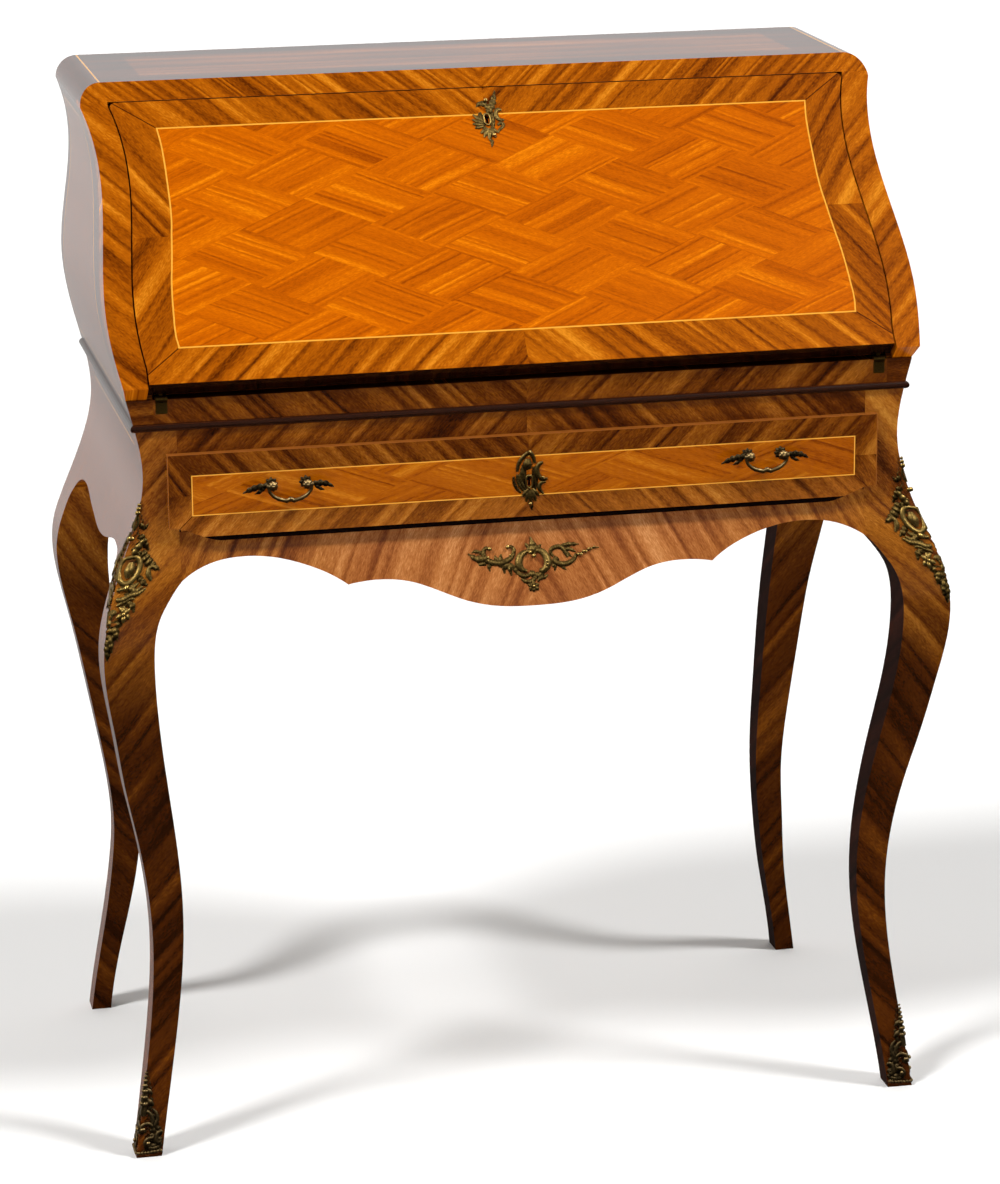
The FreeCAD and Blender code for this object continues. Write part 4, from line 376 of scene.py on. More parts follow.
def mirrored_leaf(tree, place, turn, numbers):
    """Book-matched leaves: the place mirrored in both centre lines, turned to lie across and along the
    grain, with a number for each leaf."""
    apart = put(tree, "ShaderNodeVectorMath", [place], operation="ABSOLUTE")
    sides = put(tree, "ShaderNodeVectorMath", [place], operation="SIGN")
    number = put(tree, "ShaderNodeVectorMath", [sides, (*numbers, 0)], operation="DOT_PRODUCT")
    number = put(tree, "ShaderNodeCombineXYZ", [0.0, 0.0, number.outputs["Value"]])
    return put(tree, "ShaderNodeVectorMath", [flat_turned(tree, apart, turn), number], operation="ADD")


def inlaid(tree, share, ground, inlay):
    """The ground wood, with the inlay let into it where the share is 1."""
    return put(tree, "ShaderNodeMix", {0: share, 6: ground, 7: inlay}, data_type="RGBA").outputs[2]


def near(tree, distance, half):
    """1 where a distance is less than half either way, for a thin line."""
    size = put(tree, "ShaderNodeMath", [distance], operation="ABSOLUTE")
    return put(tree, "ShaderNodeMath", [size, half], operation="LESS_THAN")


def pick(tree, operation, first, *others):
    """The largest or the smallest of several values."""
    for other in others:
        first = put(tree, "ShaderNodeMath", [first, other], operation=operation)
    return first


# %% [markdown]
# Each part of the desk has its own stain. A stain is four colours, from the wood's darkest ribbons to its
# lightest ones.

# %% The stains
FALL_BAND = ("4c1c00", "8c4202", "b86006", "e08a1c")
FALL_INSIDE = ("3a1605", "5a260a", "743a14", "8e4f22")
# The fall's edges: painted shade, nearly black.
FALL_EDGE_SHADE = ("0c0301", "140602", "1d0903", "281005")
PARQUET = ("964000", "bb5700", "d06600", "ee8808")
RAIL = ("341200", "5a2802", "844608", "ac691c")
# The drawer lip's lower band: lighter colours, as painted light.
DRAWER_LOW_LIT = ("4a2206", "7c400c", "a65f18", "cc8630")
DRAWER_FIELD = ("7c3600", "a04e00", "b35e02", "cd7a14")
APRON = ("683216", "8c4d22", "b26e38", "d6955c")
LEG = ("200a00", "381600", "522602", "7a4208")
LEG_TOP = ("421c04", "763c0c", "a26018", "ca8830")
# The legs' inner faces: painted shade.
LEG_INSIDE_SHADE = ("140601", "1f0a03", "2a1005", "38170a")
SIDE = ("2a0e02", "5c290a", "884618", "b3723c")
SIDE_DARK = ("120401", "38130a", "5a2813", "864a2c")
DARK_TIMBER = ("120500", "220c02", "331405", "4a220a")
PLAIN_TIMBER = ("3c1806", "56260b", "6f3712", "8a4a1c")
OAK = ("6b4c26", "876337", "9d7845", "b39058")
# The last two colour the drawer lip's edges: a painted highlight and a painted shadow.
STRINGING, JOINT, EDGE_LIGHT, EDGE_SHADOW = "f0a838", "4a1c03", "96551c", "0c0301"

# %% [markdown]
# ## The slope
#
# The fall, its stiles and the sloping edge of the sides all lie on one slope, so their patterns are laid
# out on it: across, up from the hinge line, and out.

# %% The slope
SLOPE = 48.69
HINGE_Y, HINGE_Z = -180.5, 713.0


def slope_frame(tree, place, reach):
    """Millimetres on the slope: X across, Y up the slope from reach above the hinge line, Z out of it."""
    angle = math.radians(SLOPE)
    along = HINGE_Y * math.cos(angle) + HINGE_Z * math.sin(angle)
    out = -HINGE_Y * math.sin(angle) + HINGE_Z * math.cos(angle)
    return in_mm(tree, place, (-SLOPE, 0, 0), (0, -along - reach, -out))


print("slope", SLOPE, "degrees from upright, hinge line", HINGE_Z, "mm up")

# %% [markdown]
# ## The fall's marquetry
#
# The fall has a field of parquetry: lozenges of striped veneer, each laid with its grain along one of its
# two sides, in turn, so that they look woven. Round it runs a thin line of pale wood, the stringing, and
# then a band of striped veneer laid aslant and book-matched in four quarters. Laying the pieces as separate
# meshes would make thousands of joints for the same picture, so the rules below work out, for any place on
# the slope, which piece of veneer lies there and how its grain runs.

# %% The woven field
LOZENGE_SIDES, LOZENGE_STARTS, LOZENGE_TILT = (65.1, 66.1), (3.3, -5.0), 25.5
# The ribbons of the field, and the numbers that give each lozenge wood of its own.
LOZENGE_RIBBON, LOZENGE_NUMBERS = 7.5, (7.31, 13.77)


def lozenges(tree, place):
    """The place in a woven field: across and along the grain of its own lozenge, with its number."""
    tilt = math.radians(LOZENGE_TILT)
    lean = (0.5 / math.cos(tilt), 0.5 / math.sin(tilt))
    flat = put(tree, "ShaderNodeVectorMath", [place, (1, 1, 0)], operation="MULTIPLY")
    ways, steps = [], []
    for sign, side, start in zip((1, -1), LOZENGE_SIDES, LOZENGE_STARTS):
        way = [flat, (lean[0], sign * lean[1], 0)]
        ways.append(put(tree, "ShaderNodeVectorMath", way, operation="DOT_PRODUCT").outputs["Value"])
        share = put(tree, "ShaderNodeMath", [ways[-1], start], operation="SUBTRACT")
        share = put(tree, "ShaderNodeMath", [share, side], operation="DIVIDE")
        steps.append(put(tree, "ShaderNodeMath", [share], operation="FLOOR"))
    total = put(tree, "ShaderNodeMath", steps, operation="ADD")
    odd = put(tree, "ShaderNodeMath", [total, 2.0], operation="FLOORED_MODULO")
    rows = []
    for across, along in (ways[::-1], ways):
        x = put(tree, "ShaderNodeMath", [across, math.sin(2 * tilt)], operation="MULTIPLY")
        rows.append(put(tree, "ShaderNodeCombineXYZ", [x, along]))
    chosen = put(tree, "ShaderNodeMix", {0: odd, 4: rows[0], 5: rows[1]}, data_type="VECTOR")
    number = put(tree, "ShaderNodeMath", [steps[0], LOZENGE_NUMBERS[0]], operation="MULTIPLY")
    number = put(tree, "ShaderNodeMath", [steps[1], LOZENGE_NUMBERS[1], number], operation="MULTIPLY_ADD")
    number = put(tree, "ShaderNodeCombineXYZ", [0.0, 0.0, number])
    return put(tree, "ShaderNodeVectorMath", [chosen.outputs[1], number], operation="ADD")


print("lozenges", LOZENGE_SIDES, "mm, tilted", LOZENGE_TILT, "degrees")

# %% The field in its mitred band
# Half as wide as the two lines of stringing, and as the mitre's joint in shares of its band.
LINE_HALF, DRAWER_LINE_HALF, MITRE_HALF = 0.75, 0.5, 0.022
BAND_RIBBON = 14.0
# How far the grain of the head and side bands leans from upright, and the numbers of their leaves.
HEAD_LEAN, SIDE_LEAN = 45, 56
HEAD_NUMBERS, SIDE_NUMBERS = (31.0, 57.0), (83.0, 21.0)


def framed_field(tree, place, side, half_up, bands, field, field_stain, stain_band, line_half=LINE_HALF):
    """A field inside stringing inside a mitred band. place is centred on the field, side and half_up are
    half its width and height, and bands are the widths of its side and head bands."""
    parts = put(tree, "ShaderNodeSeparateXYZ", [place])
    past = []
    for part, half in zip(parts.outputs, (side, half_up)):
        apart = put(tree, "ShaderNodeMath", [part], operation="ABSOLUTE")
        past.append(put(tree, "ShaderNodeMath", [apart, half], operation="SUBTRACT"))
    outside = put(tree, "ShaderNodeMath", past, operation="MAXIMUM")
    in_band = put(tree, "ShaderNodeMath", [outside, 0.0], operation="GREATER_THAN")
    shares = []
    for distance, width in zip(past, bands):
        shares.append(put(tree, "ShaderNodeMath", [distance, 1 / width], operation="MULTIPLY"))
    beside = put(tree, "ShaderNodeMath", shares, operation="GREATER_THAN")
    mitre = near(tree, put(tree, "ShaderNodeMath", shares, operation="SUBTRACT"), MITRE_HALF)
    mitre = put(tree, "ShaderNodeMath", [mitre, in_band], operation="MULTIPLY")
    head_leaf = mirrored_leaf(tree, place, 90 - HEAD_LEAN, HEAD_NUMBERS)
    side_leaf = mirrored_leaf(tree, place, 90 - SIDE_LEAN, SIDE_NUMBERS)
    leaf = put(tree, "ShaderNodeMix", {0: beside, 4: head_leaf, 5: side_leaf}, data_type="VECTOR")
    field_tone, field_fibre = ribbons(tree, lozenges(tree, field), LOZENGE_RIBBON)
    band_tone, band_fibre = ribbons(tree, leaf.outputs[1], BAND_RIBBON)
    colour = inlaid(tree, in_band, stained(tree, field_tone, field_stain), stain_band(band_tone))
    colour = inlaid(tree, mitre, colour, colour_of(JOINT))
    colour = inlaid(tree, near(tree, outside, line_half), colour, colour_of(STRINGING))
    return colour, put(tree, "ShaderNodeMath", [field_fibre, band_fibre], operation="ADD")


print("stringing", 2 * LINE_HALF, "mm wide on the fall and", 2 * DRAWER_LINE_HALF, "mm on the drawer")

# %% The fall
FIELD_LOW, FIELD_HIGH = 39.7, 265.7
FIELD_MIDDLE, FIELD_HALF = (FIELD_LOW + FIELD_HIGH) / 2, (FIELD_HIGH - FIELD_LOW) / 2
FALL_BANDS = (38.0, 31.0)
FALL_FACE_FROM, FALL_INSIDE_BELOW, INSIDE_RIBBON = 19.2, 0.8, 14.0
# Half the width of the field at heights up the slope, a curve that follows the sides of the desk.
FIELD_SIDES = (
    (25, 309.0), (39.4, 309.5), (54.8, 311), (72.1, 310.5), (100, 309), (125.3, 306), (153.3, 303),
    (179.9, 300.7), (207.9, 300.5), (239.8, 301), (265.6, 303.5), (300, 307),
)
SIDES_REACH, NARROWEST, WIDENING = 300, 295.0, 20.0


def field_side(tree, reach):
    """The half width of the field at a reach up the slope."""
    share = put(tree, "ShaderNodeMath", [reach, 1 / SIDES_REACH], operation="MULTIPLY")
    curve = put(tree, "ShaderNodeFloatCurve", {"Value": share})
    line = curve.mapping.curves[0]
    points = [(up_slope / SIDES_REACH, (half - NARROWEST) / WIDENING) for up_slope, half in FIELD_SIDES]
    line.points[0].location, line.points[1].location = points[0], points[-1]
    for point in points[1:-1]:
        line.points.new(*point)
    curve.mapping.update()
    return put(tree, "ShaderNodeMath", [curve, WIDENING, NARROWEST], operation="MULTIPLY_ADD")


def paint_fall(tree, place, normal):
    here = slope_frame(tree, place, FIELD_MIDDLE)
    parts = put(tree, "ShaderNodeSeparateXYZ", [here])
    reach = put(tree, "ShaderNodeMath", [parts.outputs[1], FIELD_MIDDLE], operation="ADD")
    colour, height = framed_field(
        tree, here, field_side(tree, reach), FIELD_HALF, FALL_BANDS, here, PARQUET,
        lambda tone: stained(tree, tone, FALL_BAND),
    )
    # The edges are painted nearly black as shade, and the inner face round the leather is plain wood.
    front = put(tree, "ShaderNodeMath", [parts.outputs[2], FALL_FACE_FROM], operation="GREATER_THAN")
    back = put(tree, "ShaderNodeMath", [parts.outputs[2], FALL_INSIDE_BELOW], operation="LESS_THAN")
    lying = put(tree, "ShaderNodeMapping", {"Vector": here, "Rotation": (0, 0, math.radians(90))})
    tone, _ = ribbons(tree, lying, INSIDE_RIBBON)
    rest = inlaid(tree, back, stained(tree, tone, FALL_EDGE_SHADE), stained(tree, tone, FALL_INSIDE))
    return inlaid(tree, front, rest, colour), height


dress(lacquered("veneered_fall", paint_fall), ["fall_board"])

# %% [markdown]
# ## The bands on rails, stiles and legs
#
# The stiles beside the fall and the rails under it carry the same striped veneer, laid aslant and
# book-matched on the desk's middle. Only the way it leans differs from piece to piece, so one rule takes
# the lean. The apron turns from a pinkish middle to the brown of the legs at its ends. The legs are lighter
# at the knee than at the foot, their outer faces match the sides, and their inner faces are bare and dull,
# with painted shade that makes them dark.

# %% Rails, stiles and legs
# Where one stain gives way to the next: in millimetres from the middle, and in metres above the floor.
APRON_TURN, KNEE_TURN = (150.0, 320.0), (0.43, 0.58)
# How far a face has to look inwards or outwards to be one of the inner or outer ones.
INWARD, OUTWARD = -0.4, 0.5
SIDE_RIBBON, UPRIGHT = 26.0, (90, 0, 90)
# The pattern's zero lies this far under a piece, so it is mirrored left and right but not up and down.
FAR_BELOW = 1000
ASLANT_NUMBERS = (31.0, 0)


def aslant(lean, band, stain, lift=0.0, on_slope=False, depth=0.0, ends=None):
    """Striped veneer, mirrored left and right, whose grain climbs outwards at lean degrees. depth, for the
    legs, shifts the leaves with the depth into the desk. ends is the stain of the ends, for the apron."""
    def paint(tree, place, normal):
        if on_slope:
            here = slope_frame(tree, place, lift - FAR_BELOW)
        else:
            here = in_mm(tree, place, (-90, 0, 0), (0, FAR_BELOW - lift, 0))
        leaf = mirrored_leaf(tree, here, 90 - lean, ASLANT_NUMBERS)
        if depth:
            deep = put(tree, "ShaderNodeVectorMath", [here, (0, 0, depth)], operation="DOT_PRODUCT")
            deep = put(tree, "ShaderNodeCombineXYZ", [deep.outputs["Value"]])
            leaf = put(tree, "ShaderNodeVectorMath", [leaf, deep], operation="ADD")
        tone, fibre = ribbons(tree, leaf, band)
        colour = stained(tree, tone, stain)
        if ends:
            apart = put(tree, "ShaderNodeVectorMath", [here], operation="ABSOLUTE")
            apart = put(tree, "ShaderNodeSeparateXYZ", [apart])
            reach = {"Value": apart.outputs[0], "From Min": APRON_TURN[0], "From Max": APRON_TURN[1]}
            reach = put(tree, "ShaderNodeMapRange", reach)
            colour = inlaid(tree, reach, colour, stained(tree, tone, ends))
        if not depth:
            return colour, fibre
        height = put(tree, "ShaderNodeSeparateXYZ", [place])
        knee = {"Value": height.outputs[2], "From Min": KNEE_TURN[0], "From Max": KNEE_TURN[1]}
        knee = put(tree, "ShaderNodeMapRange", knee)
        colour = inlaid(tree, knee, colour, stained(tree, tone, LEG_TOP))
        sides = put(tree, "ShaderNodeVectorMath", [here], operation="SIGN")
        facing = put(tree, "ShaderNodeVectorMath", [sides, normal], operation="MULTIPLY")
        facing = put(tree, "ShaderNodeSeparateXYZ", [facing])
        inward = put(tree, "ShaderNodeMath", [facing.outputs[0], INWARD], operation="LESS_THAN")
        outward = put(tree, "ShaderNodeMath", [facing.outputs[0], OUTWARD], operation="GREATER_THAN")
        upright, _ = ribbons(tree, in_mm(tree, place, UPRIGHT), SIDE_RIBBON)
        colour = inlaid(tree, outward, colour, stained(tree, upright, SIDE))
        # The inner faces take dark colours: painted shade.
        return inlaid(tree, inward, colour, stained(tree, tone, LEG_INSIDE_SHADE)), fibre, inward
    return paint


WOODS = (
    ("stile_veneer", aslant(47, 14, FALL_BAND, 0, True), ("stile_left", "stile_right")),
    ("hinge_rail_veneer", aslant(45, 15, RAIL, 10), ("hinge_rail",)),
    ("drawer_rail_veneer", aslant(-45, 15, RAIL, 20), ("drawer_rail",)),
    ("apron_veneer", aslant(-62, 17, APRON, 30, ends=LEG_TOP), ("front_apron",)),
    ("front_leg_veneer", aslant(-48, 17, LEG, 40, depth=0.5), ("front_leg_left", "front_leg_right")),
    ("back_leg_veneer", aslant(48, 17, LEG, 50, depth=0.5), ("back_leg_left", "back_leg_right")),
)
for name, paint, nodes in WOODS:
    dress(lacquered(name, paint), nodes)

# %% [markdown]
# ## The long drawer's front
#
# The drawer's lip carries a narrow field of the same parquetry. Its edge is rounded over: the top and the
# sides catch the light as a thin painted highlight, and the bottom edge is painted black as shadow. Its
# lower band carries painted light: it is the lighter one, because it leans into the light. Such lines are
# too thin for pieces of their own, so a rule paints them too, from the distances to the lip's edges.

# %% The long drawer's front
DRAWER_LINE_X, DRAWER_LINE_LOW, DRAWER_LINE_HIGH = 304.5, 608.0, 644.0
DRAWER_MIDDLE = (DRAWER_LINE_LOW + DRAWER_LINE_HIGH) / 2
DRAWER_HALF = (DRAWER_LINE_HIGH - DRAWER_LINE_LOW) / 2
DRAWER_BANDS = (21.5, 21.0)
# The drawer's lozenges are longer and a little higher than the fall's, and begin elsewhere.
DRAWER_SCALE, DRAWER_SHIFT = (0.72, 0.95, 1), (18, 30, 0)
# How wide the painted highlight and the painted shadow along the edges are, and where, under the middle, the
# lower band's painted light is in full.
LIT_EDGE, SHADOW_EDGE, LIGHTEST_AT = 0.7, 4.2, -30.0
LIP_BOX = [tuple(value / MM for value in corner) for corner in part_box("drawer_front")]
LIP_LOW, LIP_HIGH, LIP_SIDE = LIP_BOX[0][2], LIP_BOX[1][2], LIP_BOX[1][0]


def paint_drawer(tree, place, normal):
    here = in_mm(tree, place, (-90, 0, 0), (0, -DRAWER_MIDDLE, 0))
    wide = {"Vector": here, "Scale": DRAWER_SCALE, "Location": DRAWER_SHIFT}
    wide = put(tree, "ShaderNodeMapping", wide)
    side = put(tree, "ShaderNodeValue")
    side.outputs[0].default_value = DRAWER_LINE_X
    parts = put(tree, "ShaderNodeSeparateXYZ", [here])
    up, apart = parts.outputs[1], put(tree, "ShaderNodeMath", [parts.outputs[0]], operation="ABSOLUTE")
    low = put(tree, "ShaderNodeMapRange", {"Value": up, "From Min": 0.0, "From Max": LIGHTEST_AT})
    # Below the middle the band takes the lighter colours, as painted light.
    colour, height = framed_field(
        tree, here, side, DRAWER_HALF, DRAWER_BANDS, wide, DRAWER_FIELD,
        lambda tone: inlaid(tree, low, stained(tree, tone, RAIL), stained(tree, tone, DRAWER_LOW_LIT)),
        DRAWER_LINE_HALF,
    )
    # The top and the sides get a thin painted highlight.
    above = put(tree, "ShaderNodeMath", [up, LIP_HIGH - DRAWER_MIDDLE - LIT_EDGE], operation="GREATER_THAN")
    beside = put(tree, "ShaderNodeMath", [apart, LIP_SIDE - LIT_EDGE], operation="GREATER_THAN")
    colour = inlaid(tree, pick(tree, "MAXIMUM", above, beside), colour, colour_of(EDGE_LIGHT))
    # The bottom edge is painted black, as shadow.
    below = put(tree, "ShaderNodeMath", [up, LIP_LOW - DRAWER_MIDDLE + SHADOW_EDGE], operation="LESS_THAN")
    return inlaid(tree, below, colour, colour_of(EDGE_SHADOW)), height


dress(lacquered("drawer_front_veneer", paint_drawer), ["drawer_front"])
print("drawer lip", round(LIP_LOW, 1), "to", round(LIP_HIGH, 1), "mm up")

# %% [markdown]
# ## The sides and the top
#
# The sides and the top have a plain field with a darker band round it. A thin pale line runs inside the
# band on the sides, and near each end of the top. The band could be cut as pieces of its own, but a rule
# keeps it even along every curve: it takes the smallest of the distances to the edges, and whatever lies
# nearer to an edge than the band is wide belongs to the band.

# %% The sides
# The last is how far a face has to look forwards to carry the front's veneer.
SIDE_BAND, SLOPE_EDGE, SIDE_FRONT = 20.0, -10.5, -0.6
(_, _, WAIST_Z), (_, BACK_Y, TOP_Z) = [[value / MM for value in corner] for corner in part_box("cheek_left")]


def paint_side(tree, place, normal):
    """Upright striped veneer, with a dark band along the edges and a thin light line inside it. The front
    edge carries the veneer of the rails."""
    tone, fibre = ribbons(tree, in_mm(tree, place, UPRIGHT), SIDE_RIBBON)
    parts = put(tree, "ShaderNodeSeparateXYZ", [in_mm(tree, place)])
    slope = put(tree, "ShaderNodeSeparateXYZ", [slope_frame(tree, place, 0)])
    from_back = put(tree, "ShaderNodeMath", [BACK_Y, parts.outputs[1]], operation="SUBTRACT")
    from_top = put(tree, "ShaderNodeMath", [TOP_Z, parts.outputs[2]], operation="SUBTRACT")
    from_waist = put(tree, "ShaderNodeMath", [parts.outputs[2], WAIST_Z], operation="SUBTRACT")
    from_waist = put(tree, "ShaderNodeMath", [from_waist], operation="ABSOLUTE")
    from_slope = put(tree, "ShaderNodeMath", [SLOPE_EDGE, slope.outputs[2]], operation="SUBTRACT")
    inside = pick(tree, "MINIMUM", from_back, from_top, from_waist, from_slope)
    past = put(tree, "ShaderNodeMath", [inside, SIDE_BAND], operation="SUBTRACT")
    in_band = put(tree, "ShaderNodeMath", [past, 0.0], operation="LESS_THAN")
    colour = inlaid(tree, in_band, stained(tree, tone, SIDE), stained(tree, tone, SIDE_DARK))
    colour = inlaid(tree, near(tree, past, LINE_HALF), colour, colour_of(STRINGING))
    facing = put(tree, "ShaderNodeSeparateXYZ", [normal])
    front = put(tree, "ShaderNodeMath", [facing.outputs[1], SIDE_FRONT], operation="LESS_THAN")
    return inlaid(tree, front, colour, stained(tree, tone, RAIL)), fibre


SIDE_NODES = ("cheek_left", "cheek_right", "side_apron_left", "side_apron_right")
dress(lacquered("side_veneer", paint_side), SIDE_NODES)

# %% The top
TOP_FIELD_SIDE, TOP_FIELD_BACK, TOP_FIELD_FRONT, TOP_LINE = 309.0, 159.0, 45.0, 350.0
# The bevel's veneer, how far out on the slope it starts and how far forwards its faces look.
TOP_RIBBON, BEVEL_RIBBON, BEVEL_FROM, BEVEL_FRONT = 24.0, 8.0, 19.0, -0.4


def paint_top(tree, place, normal):
    """A field across the top, dark bands round it and a thin light line near each end. The bevel in front
    carries the band of the fall."""
    here = in_mm(tree, place)
    slope = slope_frame(tree, place, -FAR_BELOW)
    apart = put(tree, "ShaderNodeVectorMath", [slope], operation="ABSOLUTE")
    bevel, _ = ribbons(tree, flat_turned(tree, apart, 45), BEVEL_RIBBON)
    lying = put(tree, "ShaderNodeMapping", {"Vector": here, "Rotation": (0, 0, math.radians(90))})
    tone, fibre = ribbons(tree, lying, TOP_RIBBON)
    flat = put(tree, "ShaderNodeSeparateXYZ", [here])
    across = put(tree, "ShaderNodeMath", [flat.outputs[0]], operation="ABSOLUTE")
    past_side = put(tree, "ShaderNodeMath", [across, TOP_FIELD_SIDE], operation="SUBTRACT")
    past_back = put(tree, "ShaderNodeMath", [flat.outputs[1], TOP_FIELD_BACK], operation="SUBTRACT")
    past_front = put(tree, "ShaderNodeMath", [TOP_FIELD_FRONT, flat.outputs[1]], operation="SUBTRACT")
    past = pick(tree, "MAXIMUM", past_side, past_back, past_front)
    in_band = put(tree, "ShaderNodeMath", [past, 0.0], operation="GREATER_THAN")
    colour = inlaid(tree, in_band, stained(tree, tone, SIDE), stained(tree, tone, SIDE_DARK))
    from_line = put(tree, "ShaderNodeMath", [across, TOP_LINE], operation="SUBTRACT")
    colour = inlaid(tree, near(tree, from_line, LINE_HALF), colour, colour_of(STRINGING))
    parts = put(tree, "ShaderNodeSeparateXYZ", [slope])
    front = put(tree, "ShaderNodeMath", [parts.outputs[2], BEVEL_FROM], operation="GREATER_THAN")
    facing = put(tree, "ShaderNodeSeparateXYZ", [normal])
    facing = put(tree, "ShaderNodeMath", [facing.outputs[1], BEVEL_FRONT], operation="LESS_THAN")
    front = put(tree, "ShaderNodeMath", [front, facing], operation="MULTIPLY")
    return inlaid(tree, front, colour, stained(tree, bevel, FALL_BAND)), fibre


dress(lacquered("top_veneer", paint_top), ["top_board"])

# %% [markdown]
# ## Gilt bronze
#
# The mounts are cast bronze, gilded and rubbed: bright where a hand or a cloth reaches, brown in the
# hollows where the old lacquer and dust stay. Bronze is a metal, so it has no colour of its own in the
# shader but the tint of what it mirrors. The rule reads how high a place stands above the wood, which each
# casting keeps as an attribute, and runs from brown to gold. The foot mounts and the handles have lost most
# of their gilding and are darker. Locks are brushed steel, hinges and stays plain brass.

# %% Gilt bronze, aged brass, steel
METAL_SPOT, WORN = 1.6, 0.9
# The heights between which a casting turns from brown to gold, and how much they count.
HOLLOW, RIDGE, RELIEF_SHARE = 0.15, 0.85, 0.35
# How much rougher the hollows and how much smoother the ridges are.
ROUGHER, SMOOTHER = 0.22, 0.08


def metal(name, low, high, roughness, by_relief=False):
    """An old metal. low fills the hollows and the tarnished spots, high the ridges and the rubbed ones."""
    material, tree, shader = new_material(name)
    here = put(tree, "ShaderNodeTexCoord")
    here = in_mm(tree, here.outputs["Object"])
    spots = {"Vector": here, "Scale": 1 / METAL_SPOT, "Detail": 3.0, "Roughness": 0.6}
    spots = put(tree, "ShaderNodeTexNoise", spots)
    share = put(tree, "ShaderNodeMath", [spots, WORN, (1 - WORN) / 2], operation="MULTIPLY_ADD")
    if by_relief:
        relief = put(tree, "ShaderNodeAttribute", attribute_name="relief")
        rise = put(tree, "ShaderNodeMapRange", {
            "Value": relief.outputs["Fac"], "From Min": HOLLOW, "From Max": RIDGE,
            "To Min": -RELIEF_SHARE, "To Max": RELIEF_SHARE,
        })
        share = put(tree, "ShaderNodeMath", [share, rise], operation="ADD")
    tree.links.new(inlaid(tree, share, colour_of(low), colour_of(high)), shader.inputs["Base Color"])
    shader.inputs["Metallic"].default_value = 1.0
    rough = {"Value": share, "To Min": roughness + ROUGHER, "To Max": roughness - SMOOTHER}
    rough = put(tree, "ShaderNodeMapRange", rough)
    tree.links.new(rough.outputs[0], shader.inputs["Roughness"])
    bump = put(tree, "ShaderNodeBump", {"Strength": 0.35, "Distance": FINE_DEPTH, "Height": spots})
    tree.links.new(bump.outputs[0], shader.inputs["Normal"])
    return material


gilt_bronze = metal("gilt_bronze", "2e1c0a", "d9b463", 0.38, by_relief=True)
dark_bronze = metal("dark_bronze", "1c140d", "a98d5c", 0.42, by_relief=True)
aged_brass = metal("aged_brass", "6b4c1e", "c39a4e", 0.34)
lock_steel = metal("lock_steel", "4a4a4a", "8e8d8a", 0.4)
print("metals", gilt_bronze.name, dark_bronze.name, aged_brass.name, lock_steel.name)

# %% [markdown]
# ## One tree for every casting
#
# A rococo mount is drawn with a few strokes of the pen: scrolls that swell and shrink, leaves with lobed
# edges, and rows of beads. So each mount here is a drawing too. A stroke is a line with a width at every
# point, and one Geometry Nodes tree sweeps a cross-section along it: a fluted channel for a scroll, a
# ridged blade for a leaf. Lobes along the stroke come from a wave that squeezes the width. A second tree
# sets beads on points.

# %% The cross-sections
SCROLL_SECTION = (
    (1, -0.15), (1, 0.35), (0.82, 0.72), (0.55, 0.8), (0.3, 0.5), (0, 0.42), (-0.3, 0.5), (-0.55, 0.8),
    (-0.82, 0.72), (-1, 0.35), (-1, -0.15),
)
LEAF_SECTION = (
    (1, -0.1), (1.02, 0.16), (0.8, 0.42), (0.45, 0.3), (0.16, 0.46), (0, 0.62), (-0.16, 0.46),
    (-0.45, 0.3), (-0.8, 0.42), (-1.02, 0.16), (-1, -0.1),
)
ROD_SECTION = tuple((math.cos(k * math.tau / 12), math.sin(k * math.tau / 12)) for k in range(12))
# Each kind of stroke: its cross-section, its lobes per metre and how deep they are.
KINDS = (
    ("scroll", SCROLL_SECTION, 0.0, 0.0), ("ruffle", SCROLL_SECTION, 420.0, 0.3),
    ("leaf", LEAF_SECTION, 190.0, 0.38), ("petal", LEAF_SECTION, 0.0, 0.0), ("rod", ROD_SECTION, 0.0, 0.0),
)


def section_object(name, points):
    """A closed outline, one unit wide each way, to sweep."""
    data = bpy.data.curves.new(name, "CURVE")
    data.dimensions = "3D"
    spline = data.splines.new("POLY")
    spline.points.add(len(points) - 1)
    for point, (x, y) in zip(spline.points, points):
        point.co = (x, y, 0, 1)
    spline.use_cyclic_u = True
    return bpy.data.objects.new(name, data)


SECTIONS = {kind: (section_object(kind + "_section", outline), *lobes) for kind, outline, *lobes in KINDS}
print("cross-sections", ", ".join(SECTIONS))

# %% The sweep tree
SWEEP_STEP = 0.8 * MM


def node_tree(name, inputs):
    """A Geometry Nodes tree with a curve and some values going in and a mesh coming out."""
    tree = bpy.data.node_groups.new(name, "GeometryNodeTree")
    keys = {}
    for label, kind in (("Geometry", "Geometry"), *inputs):
        socket = tree.interface.new_socket(label, in_out="INPUT", socket_type="NodeSocket" + kind)
        keys[label] = socket.identifier
    tree.interface.new_socket("Geometry", in_out="OUTPUT", socket_type="NodeSocketGeometry")
    return tree, keys, put(tree, "NodeGroupInput").outputs


def cast_in_metal(tree, shape, finish):
    """The end of a tree: its copies made real and given their metal."""
    whole = put(tree, "GeometryNodeRealizeInstances", [shape])
    done = put(tree, "GeometryNodeSetMaterial", {"Geometry": whole, "Material": finish})
    put(tree, "NodeGroupOutput", [done])


